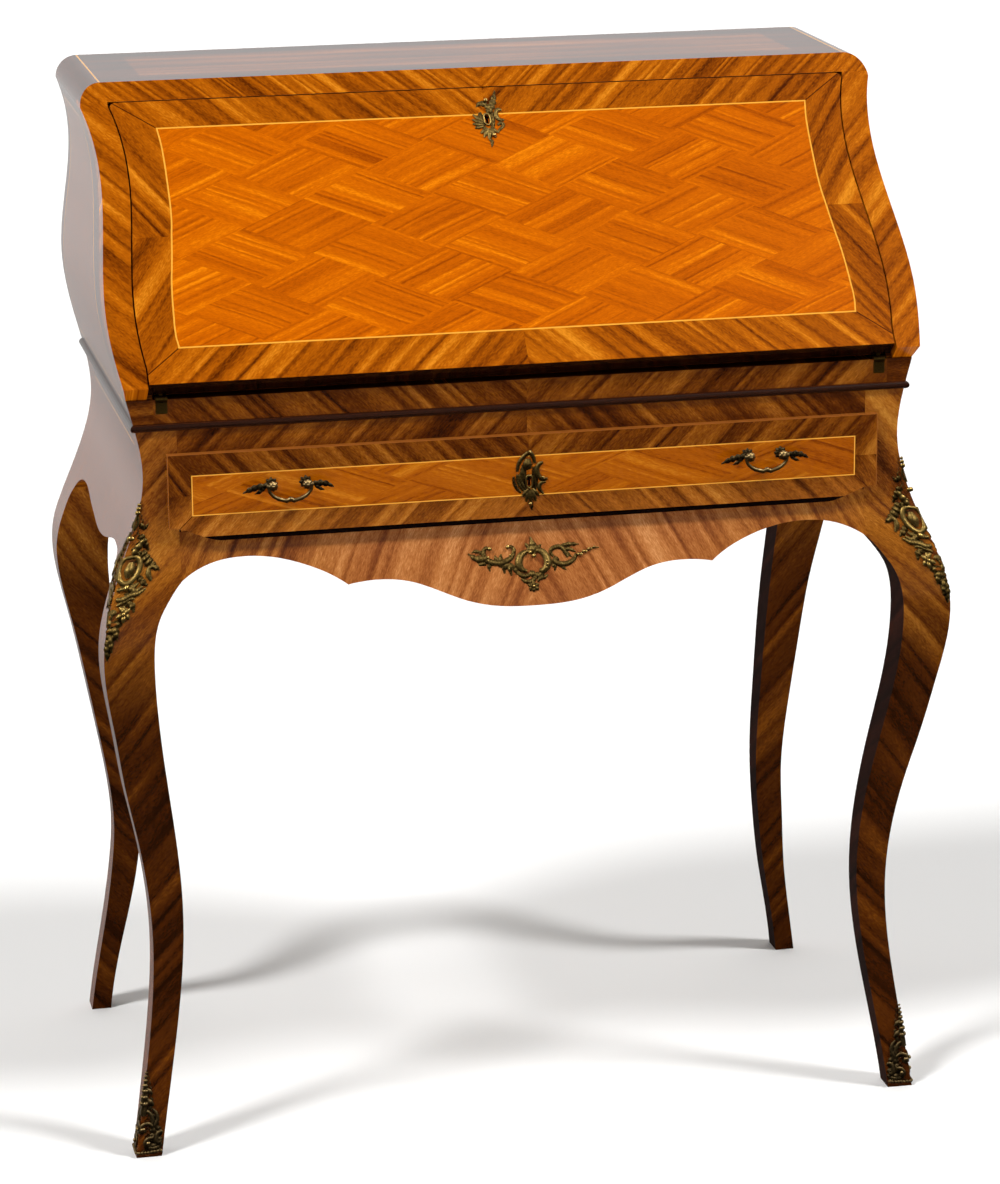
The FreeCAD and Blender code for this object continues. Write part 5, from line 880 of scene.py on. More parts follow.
def sweep_tree():
    tree, keys, ends = node_tree("casting_sweep", (
        ("Section", "Object"), ("Step", "Float"), ("Lobes per Metre", "Float"), ("Lobe Depth", "Float"),
        ("Metal", "Material"),
    ))
    line = {"Curve": ends["Geometry"], "Length": ends["Step"]}
    line = put(tree, "GeometryNodeResampleCurve", line, mode="LENGTH")
    level = put(tree, "GeometryNodeSetCurveNormal", {"Curve": line}, mode="Z_UP")
    along = put(tree, "GeometryNodeSplineParameter").outputs["Length"]
    lobes = put(tree, "ShaderNodeMath", [along, ends["Lobes per Metre"]], operation="MULTIPLY")
    lobes = put(tree, "ShaderNodeMath", [lobes, math.pi], operation="MULTIPLY")
    lobes = put(tree, "ShaderNodeMath", [lobes], operation="SINE")
    lobes = put(tree, "ShaderNodeMath", [lobes], operation="ABSOLUTE")
    lobes = put(tree, "ShaderNodeMath", [1.0, lobes], operation="SUBTRACT")
    lobes = put(tree, "ShaderNodeMath", [lobes, ends["Lobe Depth"]], operation="MULTIPLY")
    lobes = put(tree, "ShaderNodeMath", [1.0, lobes], operation="SUBTRACT")
    width = put(tree, "GeometryNodeInputRadius")
    width = put(tree, "ShaderNodeMath", [width, lobes], operation="MULTIPLY")
    section = put(tree, "GeometryNodeObjectInfo", {"Object": ends["Section"]})
    swept = put(tree, "GeometryNodeCurveToMesh", {
        "Curve": level, "Profile Curve": section.outputs["Geometry"], "Scale": width, "Fill Caps": True,
    })
    cast_in_metal(tree, swept, ends["Metal"])
    return tree, keys


SWEEP = sweep_tree()
print("sweep tree", len(SWEEP[0].nodes), "nodes")

# %% The bead tree


def bead_tree():
    tree, keys, ends = node_tree("casting_beads", (("Flatness", "Float"), ("Metal", "Material")))
    points = put(tree, "GeometryNodeCurveToPoints", {"Curve": ends["Geometry"]}, mode="EVALUATED")
    ball = put(tree, "GeometryNodeMeshUVSphere", {"Segments": 12, "Rings": 8, "Radius": 1.0})
    width = put(tree, "GeometryNodeInputRadius")
    height = put(tree, "ShaderNodeMath", [width, ends["Flatness"]], operation="MULTIPLY")
    size = put(tree, "ShaderNodeCombineXYZ", [width, width, height])
    beads = put(tree, "GeometryNodeInstanceOnPoints", {"Points": points, "Instance": ball, "Scale": size})
    cast_in_metal(tree, beads, ends["Metal"])
    return tree, keys


BEADS = bead_tree()
print("bead tree", len(BEADS[0].nodes), "nodes")

# %% Strokes to a flat casting
LINE_STEPS, SHORT_LINE_STEPS = 6, 4
THINNEST, BEAD_FLATNESS = 0.15, 0.8


def smooth_line(points):
    """A smooth line through every point of a stroke: a cubic curve from each point to the next."""
    steps = LINE_STEPS if len(points) > 2 else SHORT_LINE_STEPS
    ends = [tuple(2 * a - b for a, b in zip(points[0], points[1]))]
    ends += list(points) + [tuple(2 * a - b for a, b in zip(points[-1], points[-2]))]
    line = []
    for k in range(len(points) - 1):
        for step in range(steps):
            t = step / steps
            line.append(tuple(
                0.5 * (
                    2 * b + (c - a) * t + (2 * a - 5 * b + 4 * c - d) * t * t
                    + (3 * b - a - 3 * c + d) * t ** 3
                ) for a, b, c, d in zip(*ends[k:k + 4])
            ))
    return line + [points[-1]]


def drawn(kind, strokes):
    """The strokes of one kind as an object of curves."""
    data = bpy.data.curves.new("drawing_" + kind, "CURVE")
    data.dimensions = "3D"
    for _, lift, points in strokes:
        line = points if kind == "bead" else smooth_line(points)
        spline = data.splines.new("POLY")
        spline.points.add(len(line) - 1)
        for point, (u, v, width, *more) in zip(spline.points, line):
            point.co = (u * MM, v * MM, (lift + sum(more)) * MM, 1)
            point.radius = max(width, THINNEST) * MM
    drawing = bpy.data.objects.new("drawing_" + kind, data)
    bpy.context.scene.collection.objects.link(drawing)
    return drawing


def flat_casting(strokes, finish):
    """The strokes of a drawing as one flat mesh. A stroke is its kind, its lift and its points (across, up,
    half width, and for some a lift of their own), all in millimetres."""
    whole = bmesh.new()
    for kind in sorted({stroke[0] for stroke in strokes}):
        drawing = drawn(kind, [stroke for stroke in strokes if stroke[0] == kind])
        modifier = drawing.modifiers.new("cast", "NODES")
        if kind == "bead":
            modifier.node_group, keys = BEADS
            values = {"Flatness": BEAD_FLATNESS}
        else:
            modifier.node_group, keys = SWEEP
            section, lobes, depth = SECTIONS[kind]
            values = {"Section": section, "Step": SWEEP_STEP, "Lobes per Metre": lobes, "Lobe Depth": depth}
        for label, value in {**values, "Metal": finish}.items():
            modifier[keys[label]] = value
        bpy.context.view_layer.update()
        made = drawing.evaluated_get(bpy.context.evaluated_depsgraph_get())
        whole.from_mesh(bpy.data.meshes.new_from_object(made))
        bpy.data.objects.remove(drawing)
    return whole


print("a stroke of 3 points is drawn with", len(smooth_line(((0, 0, 1), (1, 1, 1), (2, 0, 1)))), "points")

# %% [markdown]
# A flat casting is then bent onto the wood, as a chaser taps a cast leaf down until it sits. The wood
# itself says where it is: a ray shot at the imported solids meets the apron, and a table of the leg's front
# and side gives its corner.

# %% Where a front and a flat place are
RAY_START, SEARCH_STEP, SEARCH_STEPS = -1.0, 2 * MM, 9
FRONT_FACING, BESIDE_THE_WOOD = -0.3, -0.2


def place_mm(x, y, z):
    """A place in the frame, given in millimetres."""
    return Vector((x, y, z)) * MM


def wood_tree(*names):
    """The named nodes as something that rays can hit."""
    corners, faces = [], []
    for name in names:
        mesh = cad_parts[name].data
        start = len(corners)
        corners += [vertex.co.copy() for vertex in mesh.vertices]
        faces += [[start + k for k in face.vertices] for face in mesh.polygons]
    return BVHTree.FromPolygons(corners, faces)


def on_front(wood):
    """The place and the way out of the wood, for a casting on a front. A place just off the wood's edge
    takes the depth of the nearest wood above or below it."""
    def find(u, v):
        for step in range(SEARCH_STEPS):
            for sign in (1, -1):
                start = Vector((u, RAY_START, v + sign * step * SEARCH_STEP))
                point, out, *_ = wood.ray_cast(start, Vector((0, 1, 0)))
                if point is not None and out.y < FRONT_FACING:
                    return Vector((u, point.y, v)), out
        return Vector((u, BESIDE_THE_WOOD, v)), Vector((0, -1, 0))
    return find


def on_plane(origin, across, along):
    """The same for a flat place."""
    out = Vector(across).cross(Vector(along))
    return lambda u, v: (Vector(origin) + Vector(across) * u + Vector(along) * v, out)


apron_wood = wood_tree("front_apron", "front_leg_left", "front_leg_right")
on_apron = on_front(apron_wood)
print("apron front at", [round(on_apron(u, 0.55)[0].y, 4) for u in (-0.05, 0.0, 0.05)])

# %% Where a leg's corner is
CORNER_STEP, CORNER_ROUND = 4, 6
CORNER_DEPTHS, CORNER_INSETS = range(-218, -130, 4), (2, 4, 7, 10)


def corner_table(leg, side, low, high):
    """The half width and the front of a leg at heights from low to high."""
    wood = wood_tree(leg)
    table = []
    for z in range(low - 2 * CORNER_STEP, high + 2 * CORNER_STEP + 1, CORNER_STEP):
        height = max(z, 1) * MM
        starts = [Vector((side, y * MM, height)) for y in CORNER_DEPTHS]
        hits = [wood.ray_cast(start, Vector((-side, 0, 0)))[0] for start in starts]
        width = max(abs(hit.x) for hit in hits if hit is not None)
        hit = None
        for inset in CORNER_INSETS:
            start = Vector((side * (width - inset * MM), RAY_START, height))
            hit = hit or wood.ray_cast(start, Vector((0, 1, 0)))[0]
        table.append((height, width, hit.y))
    return table


def on_corner(leg, side, low, high):
    """The same round a leg's outer front corner. u runs inwards on the front and, below 0, back on the
    side."""
    table = corner_table(leg, side, low, high)

    def find(u, v):
        place = max(0.0, min(len(table) - 1.001, (v / MM - low) / CORNER_STEP + 2))
        k = int(place)
        (z0, w0, y0), (z1, w1, y1) = table[k], table[k + 1]
        t = place - k
        width, front = w0 + (w1 - w0) * t, y0 + (y1 - y0) * t
        rise = max(z1 - z0, MM)
        ahead = Vector((0, -1, (y1 - y0) / rise)).normalized()
        aside = Vector((side, 0, -(w1 - w0) / rise)).normalized()
        turn = min(1.0, max(0.0, 0.5 - u / (CORNER_ROUND * MM)))
        point = Vector((side * (width - max(u, 0)), front + max(-u, 0), v))
        return point, (ahead * (1 - turn) + aside * turn).normalized()
    return find


print("corner table every", CORNER_STEP, "mm")

# %% Bending a casting and handing it over
WELD = 0.00001


def bent(strokes, find, finish):
    """A flat casting bent onto the wood, which keeps each point's height for the gilding."""
    shape = flat_casting(strokes, finish)
    relief = shape.verts.layers.float.new("relief")
    tallest = max(vertex.co.z for vertex in shape.verts)
    for vertex in shape.verts:
        u, v, height = vertex.co
        point, out = find(u, v)
        vertex[relief] = height / tallest
        vertex.co = point + out * height
    mesh = bpy.data.meshes.new("bent")
    shape.to_mesh(mesh)
    shape.free()
    return mesh


def cast(name, shapes, body, nodes, finish):
    """Joins the bent shapes into one piece and hands it to the frame."""
    whole = bmesh.new()
    for shape in shapes:
        whole.from_mesh(shape)
    bmesh.ops.remove_doubles(whole, verts=whole.verts, dist=WELD)
    bmesh.ops.recalc_face_normals(whole, faces=whole.faces)
    mesh = bpy.data.meshes.new(name)
    whole.to_mesh(mesh)
    whole.free()
    mesh.materials.clear()
    mesh.materials.append(finish)
    for face in mesh.polygons:
        face.material_index = 0
        face.use_smooth = True
    piece = bpy.data.objects.new(name, mesh)
    bpy.context.scene.collection.objects.link(piece)
    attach(piece, body)
    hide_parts(*nodes)
    print(name, len(mesh.polygons), "faces")


# %% [markdown]
# ## The apron mount
#
# Two fluted C scrolls stand face to face round an opening, with a leaf finial above and a flower below. An
# arm runs out on each side: a U scroll with an acanthus leaf on the left, an arch with a string of berries
# on the right. Rococo work is never quite the same on both sides, so every stroke is drawn for itself.

# %% The apron mount


def flower(lift, root, *petals):
    """Petals that spread from one root."""
    return tuple(("petal", lift, (root, *petal)) for petal in petals)


APRON_STROKES = (
    ("scroll", 0.6, (
        (-1.6, 556.2, 1.2), (-4.5, 555, 2.0), (-8.8, 552.4, 3.0), (-11.3, 547.4, 3.4), (-10.6, 543.4, 3.0),
        (-7.5, 540.5, 2.0), (-4.4, 540, 1.2),
    )),
    ("scroll", 0.8, (
        (3.0, 552.0, 1.4), (4.8, 555.5, 1.6), (8.8, 555.9, 2.2), (12.3, 553.6, 2.8), (14.9, 549.4, 3.3),
        (15.2, 545, 3.4), (13.2, 541.4, 2.8), (10, 539.5, 2.2), (7, 540.2, 1.3),
    )),
    ("bead", 2.8, (
        (-0.4, 554.4, 2.0), (3.0, 551.4, 1.9), (14.4, 546.5, 1.1), (14.6, 543.8, 1.1), (13.2, 541.3, 1.0),
    )),
    ("leaf", 0.4, ((1.0, 554.5, 2.6), (-0.6, 558.5, 2.4), (-3.6, 562.6, 0.6))),
    ("leaf", 1.0, ((1.5, 554.5, 3.0), (2.6, 559.5, 3.2), (2.6, 563.5, 2.2), (1.5, 568.0, 0.3))),
    ("leaf", 0.4, ((3.0, 556.0, 2.4), (5.2, 559.5, 2.2), (5.8, 562.6, 0.5))),
    ("leaf", 0.4, ((6.0, 556.5, 2.2), (9.0, 559.2, 1.8), (11.2, 561.0, 0.4))),
    ("scroll", 0.2, (
        (-14.4, 540.8, 1.0), (-11, 537.2, 1.8), (-6.6, 535.8, 2.0), (-2.2, 537.3, 1.6), (-0.8, 539.6, 0.8),
    )),
    ("ruffle", 0.2, (
        (-10.6, 534.2, 0.9), (-7.2, 531.5, 1.9), (-2.6, 531.0, 2.3), (1.5, 533.0, 2.1), (3.6, 536.0, 1.3),
    )),
    ("ruffle", 0.3, ((4.3, 530.5, 1.0), (7.1, 533.7, 1.9), (10.8, 534.0, 1.7), (14.2, 536, 0.9))),
    ("leaf", 0.2, ((-2, 539, 2.4), (2.5, 536.0, 3.0), (8, 536.5, 2.4), (12, 538.5, 1.0))),
    *flower(
        0.6, (0, 526.9, 1.0), ((-2.6, 528.0, 1.9), (-5.0, 528.4, 0.8)),
        ((-2.4, 525.2, 1.9), (-4.2, 524.0, 0.8)), ((-0.2, 524.2, 1.9), (0, 522.4, 0.7)),
        ((2.6, 525.3, 1.9), (4.4, 524.0, 0.8)), ((2.8, 527.8, 1.9), (5.0, 528.6, 0.8)),
        ((0.2, 529.4, 1.9), (0, 531.5, 0.8)),
    ),
    ("bead", 1.8, ((0, 526.9, 1.5),)),
    ("scroll", 0.5, (
        (-36.9, 559.2, 1.2), (-39.9, 560.6, 1.5), (-42.3, 558.2, 1.8), (-42.6, 554.6, 2.0),
        (-40.6, 551.0, 2.3), (-36.9, 548.9, 2.4), (-32.5, 547.9, 2.3), (-27.4, 547.6, 2.2),
        (-22.5, 549.0, 2.3), (-18.7, 550.6, 2.2), (-15.6, 553.9, 1.9), (-14.5, 557.8, 1.6),
        (-16.7, 560.4, 1.4), (-20.0, 559.9, 1.2),
    )),
    ("bead", 2.4, ((-36.9, 559.4, 1.9), (-20.4, 560.0, 1.9), (-39.0, 552.5, 1.0), (-19.0, 553.0, 1.0))),
    ("petal", 0.4, ((-30, 548, 1.6), (-31.5, 551.0, 1.8), (-32.6, 554.0, 0.5))),
    ("petal", 0.4, ((-28, 548, 1.6), (-27.4, 551.6, 1.8), (-26.6, 555.0, 0.5))),
    ("leaf", 0.6, (
        (-40, 552, 2.2), (-44.4, 551.8, 3.1), (-49.7, 552.2, 3.0), (-53, 554.2, 1.9), (-57, 557.0, 0.3),
    )),
    ("leaf", 0.4, ((-42.5, 555.0, 1.6), (-46.0, 557.4, 1.9), (-50.5, 558.4, 1.3), (-53.6, 557.4, 0.4))),
    ("leaf", 0.3, ((-40, 549.5, 1.8), (-44.5, 547.8, 2.1), (-48.5, 547.6, 0.5))),
    ("leaf", 0.3, ((-37, 548, 1.8), (-39.0, 544.5, 1.8), (-38.4, 541.5, 0.4))),
    ("leaf", 0.5, ((-31, 547, 1.8), (-25.5, 545.6, 2.8), (-20.0, 544.6, 2.9), (-15.0, 543.6, 1.8))),
    ("leaf", 0.4, ((-23.5, 546, 2.0), (-25.4, 542.4, 2.2), (-25.0, 538.8, 0.5))),
    ("leaf", 0.5, ((-19.0, 545, 2.2), (-19.8, 541.0, 2.4), (-19.0, 536.8, 0.5))),
    ("leaf", 0.4, ((-16, 544, 2.0), (-14.6, 540.0, 1.9), (-14.8, 537.4, 0.4))),
    ("scroll", 0.5, (
        (21.2, 550.4, 1.2), (19.0, 553.0, 1.5), (19.8, 556.0, 1.7), (22.4, 557.4, 1.8), (26.4, 558.0, 1.9),
        (29.9, 556.8, 1.9), (32.1, 553.3, 1.7), (34.5, 549.1, 1.2),
    )),
    ("leaf", 0.4, ((28.5, 557.8, 1.2), (33.0, 559.2, 1.9), (39.3, 559.4, 1.9), (46.0, 559.0, 0.4))),
    ("leaf", 0.4, ((32.0, 556.0, 1.3), (37.0, 555.4, 1.9), (42.4, 552.8, 0.4))),
    ("leaf", 0.4, ((32.0, 553.0, 1.2), (35.0, 551.6, 1.7), (38.2, 549.0, 0.4))),
    ("scroll", 0.5, (
        (42.5, 551.4, 1.2), (40.9, 548.4, 1.6), (37.9, 545.8, 1.9), (34.0, 544.2, 2.0), (29.8, 543.6, 2.0),
        (25.0, 544.6, 2.0), (20.0, 546.2, 1.8),
    )),
    ("scroll", 0.2, (
        (42.0, 550.2, 0.9), (46.2, 551.2, 1.0), (51.1, 552.8, 0.9), (56.9, 555.0, 0.8), (64.3, 555.2, 0.3),
    )),
    ("bead", 1.6, (
        (44.2, 550.6, 1.5), (46.9, 550.4, 1.4), (49.2, 552.6, 1.4), (51.8, 552.4, 1.3), (54.2, 554.4, 1.2),
        (57.0, 554.4, 1.1), (59.6, 555.8, 1.0), (61.9, 555.2, 0.8),
    )),
    ("leaf", 0.3, ((24, 545.5, 1.6), (27.5, 542.6, 2.2), (31.8, 538.5, 0.4))),
    ("leaf", 0.3, ((20, 545.5, 1.8), (21.6, 542.0, 2.2), (20.8, 538.4, 0.4))),
    ("petal", 0.6, ((21.0, 549.0, 1.4), (23.6, 548.2, 1.9), (26.2, 547.2, 0.6))),
    ("petal", 0.6, ((19.5, 547.4, 1.6), (23.0, 545.4, 1.9), (24.8, 542.9, 0.6))),
)
apron_shape = bent(APRON_STROKES, on_apron, gilt_bronze)
cast("apron_mount_casting", [apron_shape], "desk", ["apron_mount"], gilt_bronze)

# %% [markdown]
# ## The knee mounts
#
# Each knee carries a tall casting that is folded over its corner, half on the front and half on the side: a
# bud and a strap leaf at the top, a shell, an oval ring with a wing on each side, ruffled bands, a flower
# and drops that run out down the leg. The strokes are drawn once, in from the corner, and the wings and
# ruffles are mirrored round onto the side. The right mount is the left one mirrored.

# %% The knee mounts
SIDE_SHARE = 0.9


def both_ways(strokes):
    """The strokes and their mirror images round the corner, which are a little narrower."""
    return strokes + tuple(
        (kind, lift, tuple((-u * SIDE_SHARE, v, width) for u, v, width in points))
        for kind, lift, points in strokes
    )


KNEE_STROKES = (
    ("leaf", 0.2, (
        (0, 622.5, 0.5), (0.2, 617, 2.6), (0.2, 611, 2.6), (0.4, 604, 6.4), (0.6, 597, 5.4),
        (1.0, 590, 3.2),
    )),
    ("bead", 2.0, ((0, 619.0, 1.5), (0, 615.6, 1.8), (0.2, 611.9, 2.1))),
    ("petal", 1.4, ((0.2, 610, 1.0), (0.4, 603, 2.6), (0.4, 596, 1.2))),
    ("leaf", 0.2, (
        (1.0, 594, 5.0), (1.4, 584, 9.5), (2.0, 572, 13.5), (2.0, 560, 15.0), (2.0, 549, 13.0),
        (3.0, 538, 12.0), (5.0, 526, 10.0), (5.5, 514, 6.5), (4.5, 504, 4.0), (3.5, 494, 2.2),
        (3.0, 487.6, 0.4),
    )),
    ("scroll", 1.6, (
        (5.5, 571.9, 1.7), (2.0, 571.0, 1.7), (-0.3, 567.2, 1.8), (-0.8, 561.5, 1.9), (0.9, 555.2, 1.9),
        (4.5, 551.4, 2.0), (9.5, 550.6, 2.2), (13.9, 553.6, 2.4), (16.8, 559.5, 2.5), (16.2, 566.2, 2.3),
        (12.4, 571.0, 2.0), (8.0, 572.4, 1.8), (5.5, 571.9, 1.7),
    )),
    ("petal", 1.2, ((8.0, 568.0, 2.0), (8.2, 561.5, 4.6), (8.6, 555.0, 2.0))),
    ("leaf", 2.0, ((7.0, 574.0, 2.0), (9.0, 580.0, 3.6), (11.0, 585.0, 2.6), (12.2, 589.0, 0.5))),
    ("ruffle", 0.8, ((4.2, 579.8, 1.4), (8.0, 578.0, 1.9), (11.8, 574.1, 2.1), (13.5, 571.5, 1.6))),
    ("bead", 3.0, ((1.0, 588.9, 2.2), (9.8, 546.8, 2.6))),
    ("scroll", 1.0, ((5.0, 549.0, 1.6), (10.0, 547.6, 2.2), (16.0, 548.2, 2.0), (19.5, 550.6, 1.2))),
    ("petal", 2.0, ((14.5, 528.0, 1.0), (10.8, 530.2, 2.2), (7.3, 532.0, 0.9))),
    *flower(
        2.0, (12.4, 526, 1.0), ((11.6, 529.6, 2.2), (11.2, 532.8, 0.9)),
        ((15.0, 528.6, 2.2), (17.4, 530.6, 0.9)), ((15.8, 524.4, 2.2), (18.6, 522.6, 0.9)),
        ((13.2, 522.6, 2.2), (13.7, 519.2, 0.9)), ((9.4, 525.0, 2.2), (6.4, 523.6, 0.9)),
    ),
    ("bead", 3.2, ((12.4, 526.0, 1.8),)),
    ("leaf", 1.2, ((6.0, 528.0, 1.6), (1.6, 527.6, 3.0), (0.2, 522.0, 2.6), (2.6, 516.4, 0.6))),
    ("leaf", 1.0, ((5.3, 516.2, 1.8), (8.4, 511.0, 2.6), (10.8, 505.0, 0.6))),
    ("leaf", 1.0, ((3.8, 508.0, 1.6), (5.4, 500.5, 2.3), (6.6, 494.6, 0.5))),
    ("leaf", 1.0, ((1.8, 506.0, 1.4), (1.8, 498.0, 1.9), (2.4, 488.0, 0.4))),
)
KNEE_WINGS = (
    ("leaf", 0.6, (
        (15.0, 577.0, 2.6), (20.0, 570.4, 4.0), (27.0, 564.6, 3.6), (32.0, 561.8, 2.2), (35.8, 560.0, 0.4),
    )),
    ("scroll", 1.0, (
        (31.8, 561.4, 1.3), (27.6, 563.6, 1.7), (25.4, 561.0, 2.0), (26.6, 556.6, 2.1), (30.4, 552.0, 1.0),
    )),
    ("ruffle", 1.2, (
        (2.0, 545.6, 1.6), (7.4, 546.6, 2.3), (12.6, 546.6, 2.4), (18.3, 544.4, 2.1), (23.8, 547.6, 1.2),
    )),
    ("ruffle", 1.2, (
        (3.0, 538.4, 1.6), (8.7, 538.3, 2.4), (14.8, 541.3, 2.5), (21.4, 542.4, 2.2), (27.3, 546.2, 1.0),
    )),
    ("ruffle", 1.2, ((4.6, 533.4, 1.2), (9.9, 536.0, 1.9), (15.3, 538.4, 1.7), (19.4, 538.2, 1.0))),
    ("leaf", 0.6, ((18.0, 556.0, 2.2), (23.5, 551.0, 2.7), (28.3, 548.2, 0.6))),
    ("leaf", 0.6, ((12.0, 536.0, 2.6), (18.6, 533.0, 2.9), (21.6, 527.4, 0.6))),
    ("leaf", 0.6, ((4.0, 602.0, 1.8), (9.0, 598.0, 2.4), (11.6, 602.0, 0.5))),
    ("leaf", 0.6, ((8.0, 592.0, 2.2), (14.0, 584.0, 3.0), (20.0, 577.6, 0.8))),
)
KNEE_LOW, KNEE_HIGH = 482, 626
for side, label in ((-1, "left"), (1, "right")):
    corner = on_corner(f"front_leg_{label}", side, KNEE_LOW, KNEE_HIGH)
    shape = bent(both_ways(KNEE_WINGS) + KNEE_STROKES, corner, gilt_bronze)
    cast(f"knee_mount_casting_{label}", [shape], "desk", [f"knee_mount_{label}"], gilt_bronze)

# %% [markdown]
# ## The foot mounts
#
# A foot mount is a pointed leaf that climbs the corner of each front foot from a beaded band, with a row of
# beads up its ridge and a second leaf beside it. Small scrolls, petals and a ruffle fill the rest, and all
# of it is mirrored round onto the side.

# %% The foot mounts
FOOT_STROKES = (
    ("leaf", 0.1, (
        (0, 83.5, 0.4), (0.4, 74, 3.6), (1.6, 60, 6.2), (2.6, 46, 8.4), (3.6, 32, 11.0), (4.4, 20, 13.4),
        (4.6, 9, 14.6), (4.0, 4.8, 13.6),
    )),
    ("petal", 1.2, ((0.2, 78, 0.6), (0.6, 66, 1.9), (1.4, 52, 2.3), (2.0, 40, 1.6))),
    ("scroll", 1.0, (
        (1.6, 44.6, 1.0), (5.0, 43.6, 1.5), (8.6, 40.0, 1.6), (10.8, 34.6, 1.5), (10.4, 29.0, 1.2),
    )),
    ("scroll", 1.4, (
        (10.8, 30.0, 1.0), (7.0, 32.4, 1.4), (2.6, 31.6, 1.7), (0.4, 27.6, 1.8), (2.8, 24.2, 1.5),
        (5.6, 26.0, 1.1),
    )),
    ("scroll", 1.4, (
        (14.0, 22.0, 0.9), (12.4, 18.6, 1.4), (8.6, 18.2, 1.7), (5.8, 14.6, 1.8), (7.6, 10.8, 1.6),
        (11.0, 12.2, 1.1),
    )),
    ("bead", 2.6, ((2.6, 27.4, 1.9), (8.6, 14.2, 1.9))),
    ("leaf", 0.8, ((5.6, 44.0, 1.4), (7.4, 50.0, 2.2), (6.6, 57.0, 0.5))),
    ("leaf", 0.8, ((9.0, 32.0, 1.8), (12.2, 27.0, 2.4), (14.6, 20.0, 0.7))),
    ("leaf", 0.1, ((8.0, 44, 0.6), (11.6, 34, 4.0), (14.8, 22, 6.2), (16.0, 10, 7.2), (16.0, 5.2, 7.0))),
    ("scroll", 1.2, (
        (21.4, 23.0, 0.9), (18.8, 24.4, 1.5), (16.2, 21.0, 1.8), (16.4, 15.4, 1.9), (19.4, 12.8, 1.5),
        (21.0, 16.0, 1.0),
    )),
    ("scroll", 1.0, (
        (9.4, 46.0, 0.8), (13.0, 42.0, 1.4), (15.0, 36.0, 1.6), (13.6, 30.6, 1.5), (16.4, 26.6, 1.0),
    )),
    ("ruffle", 0.8, ((6.4, 9.6, 1.4), (12.0, 8.0, 2.2), (16.6, 8.2, 2.2), (20.6, 10.4, 1.4))),
    ("petal", 1.4, ((3.2, 56.0, 0.8), (6.2, 52.6, 2.2), (9.8, 50.2, 0.8))),
    ("petal", 1.4, ((1.6, 66.0, 0.7), (4.6, 62.6, 2.0), (7.4, 60.6, 0.7))),
    ("bead", 1.5, (
        (0.4, 80.4, 0.9), (0.5, 77.0, 1.2), (0.7, 73.0, 1.4), (1.0, 68.4, 1.6), (1.3, 63.2, 1.8),
        (1.8, 57.4, 2.0), (2.4, 51.2, 2.1),
    )),
)
FOOT_BAND = ("bead", 1.2, tuple((-19 + 2.9 * k, 4.6 + 0.02 * (k - 6.5) ** 2, 1.5) for k in range(15)))
FOOT_LOW, FOOT_HIGH = 4, 88
shapes = []
for side, label in ((-1, "left"), (1, "right")):
    corner = on_corner(f"front_leg_{label}", side, FOOT_LOW, FOOT_HIGH)
    shapes.append(bent(both_ways(FOOT_STROKES) + (FOOT_BAND,), corner, dark_bronze))
cast("foot_mount_castings", shapes, "desk", ["foot_mounts"], dark_bronze)

# %% [markdown]
# ## Key plates
#
# The fall's key plate has a flame leaf over the keyhole, ribs that fan to the left like a shell, a C scroll
# on the right and a shell with a drop below. The drawer's is wider, under a hood. Each could be modelled as
# one solid plate, but strokes laid over one another give the undercut edges and the overlaps that catch the
# light. Both are a little uneven, as castings are that were tidied by hand.

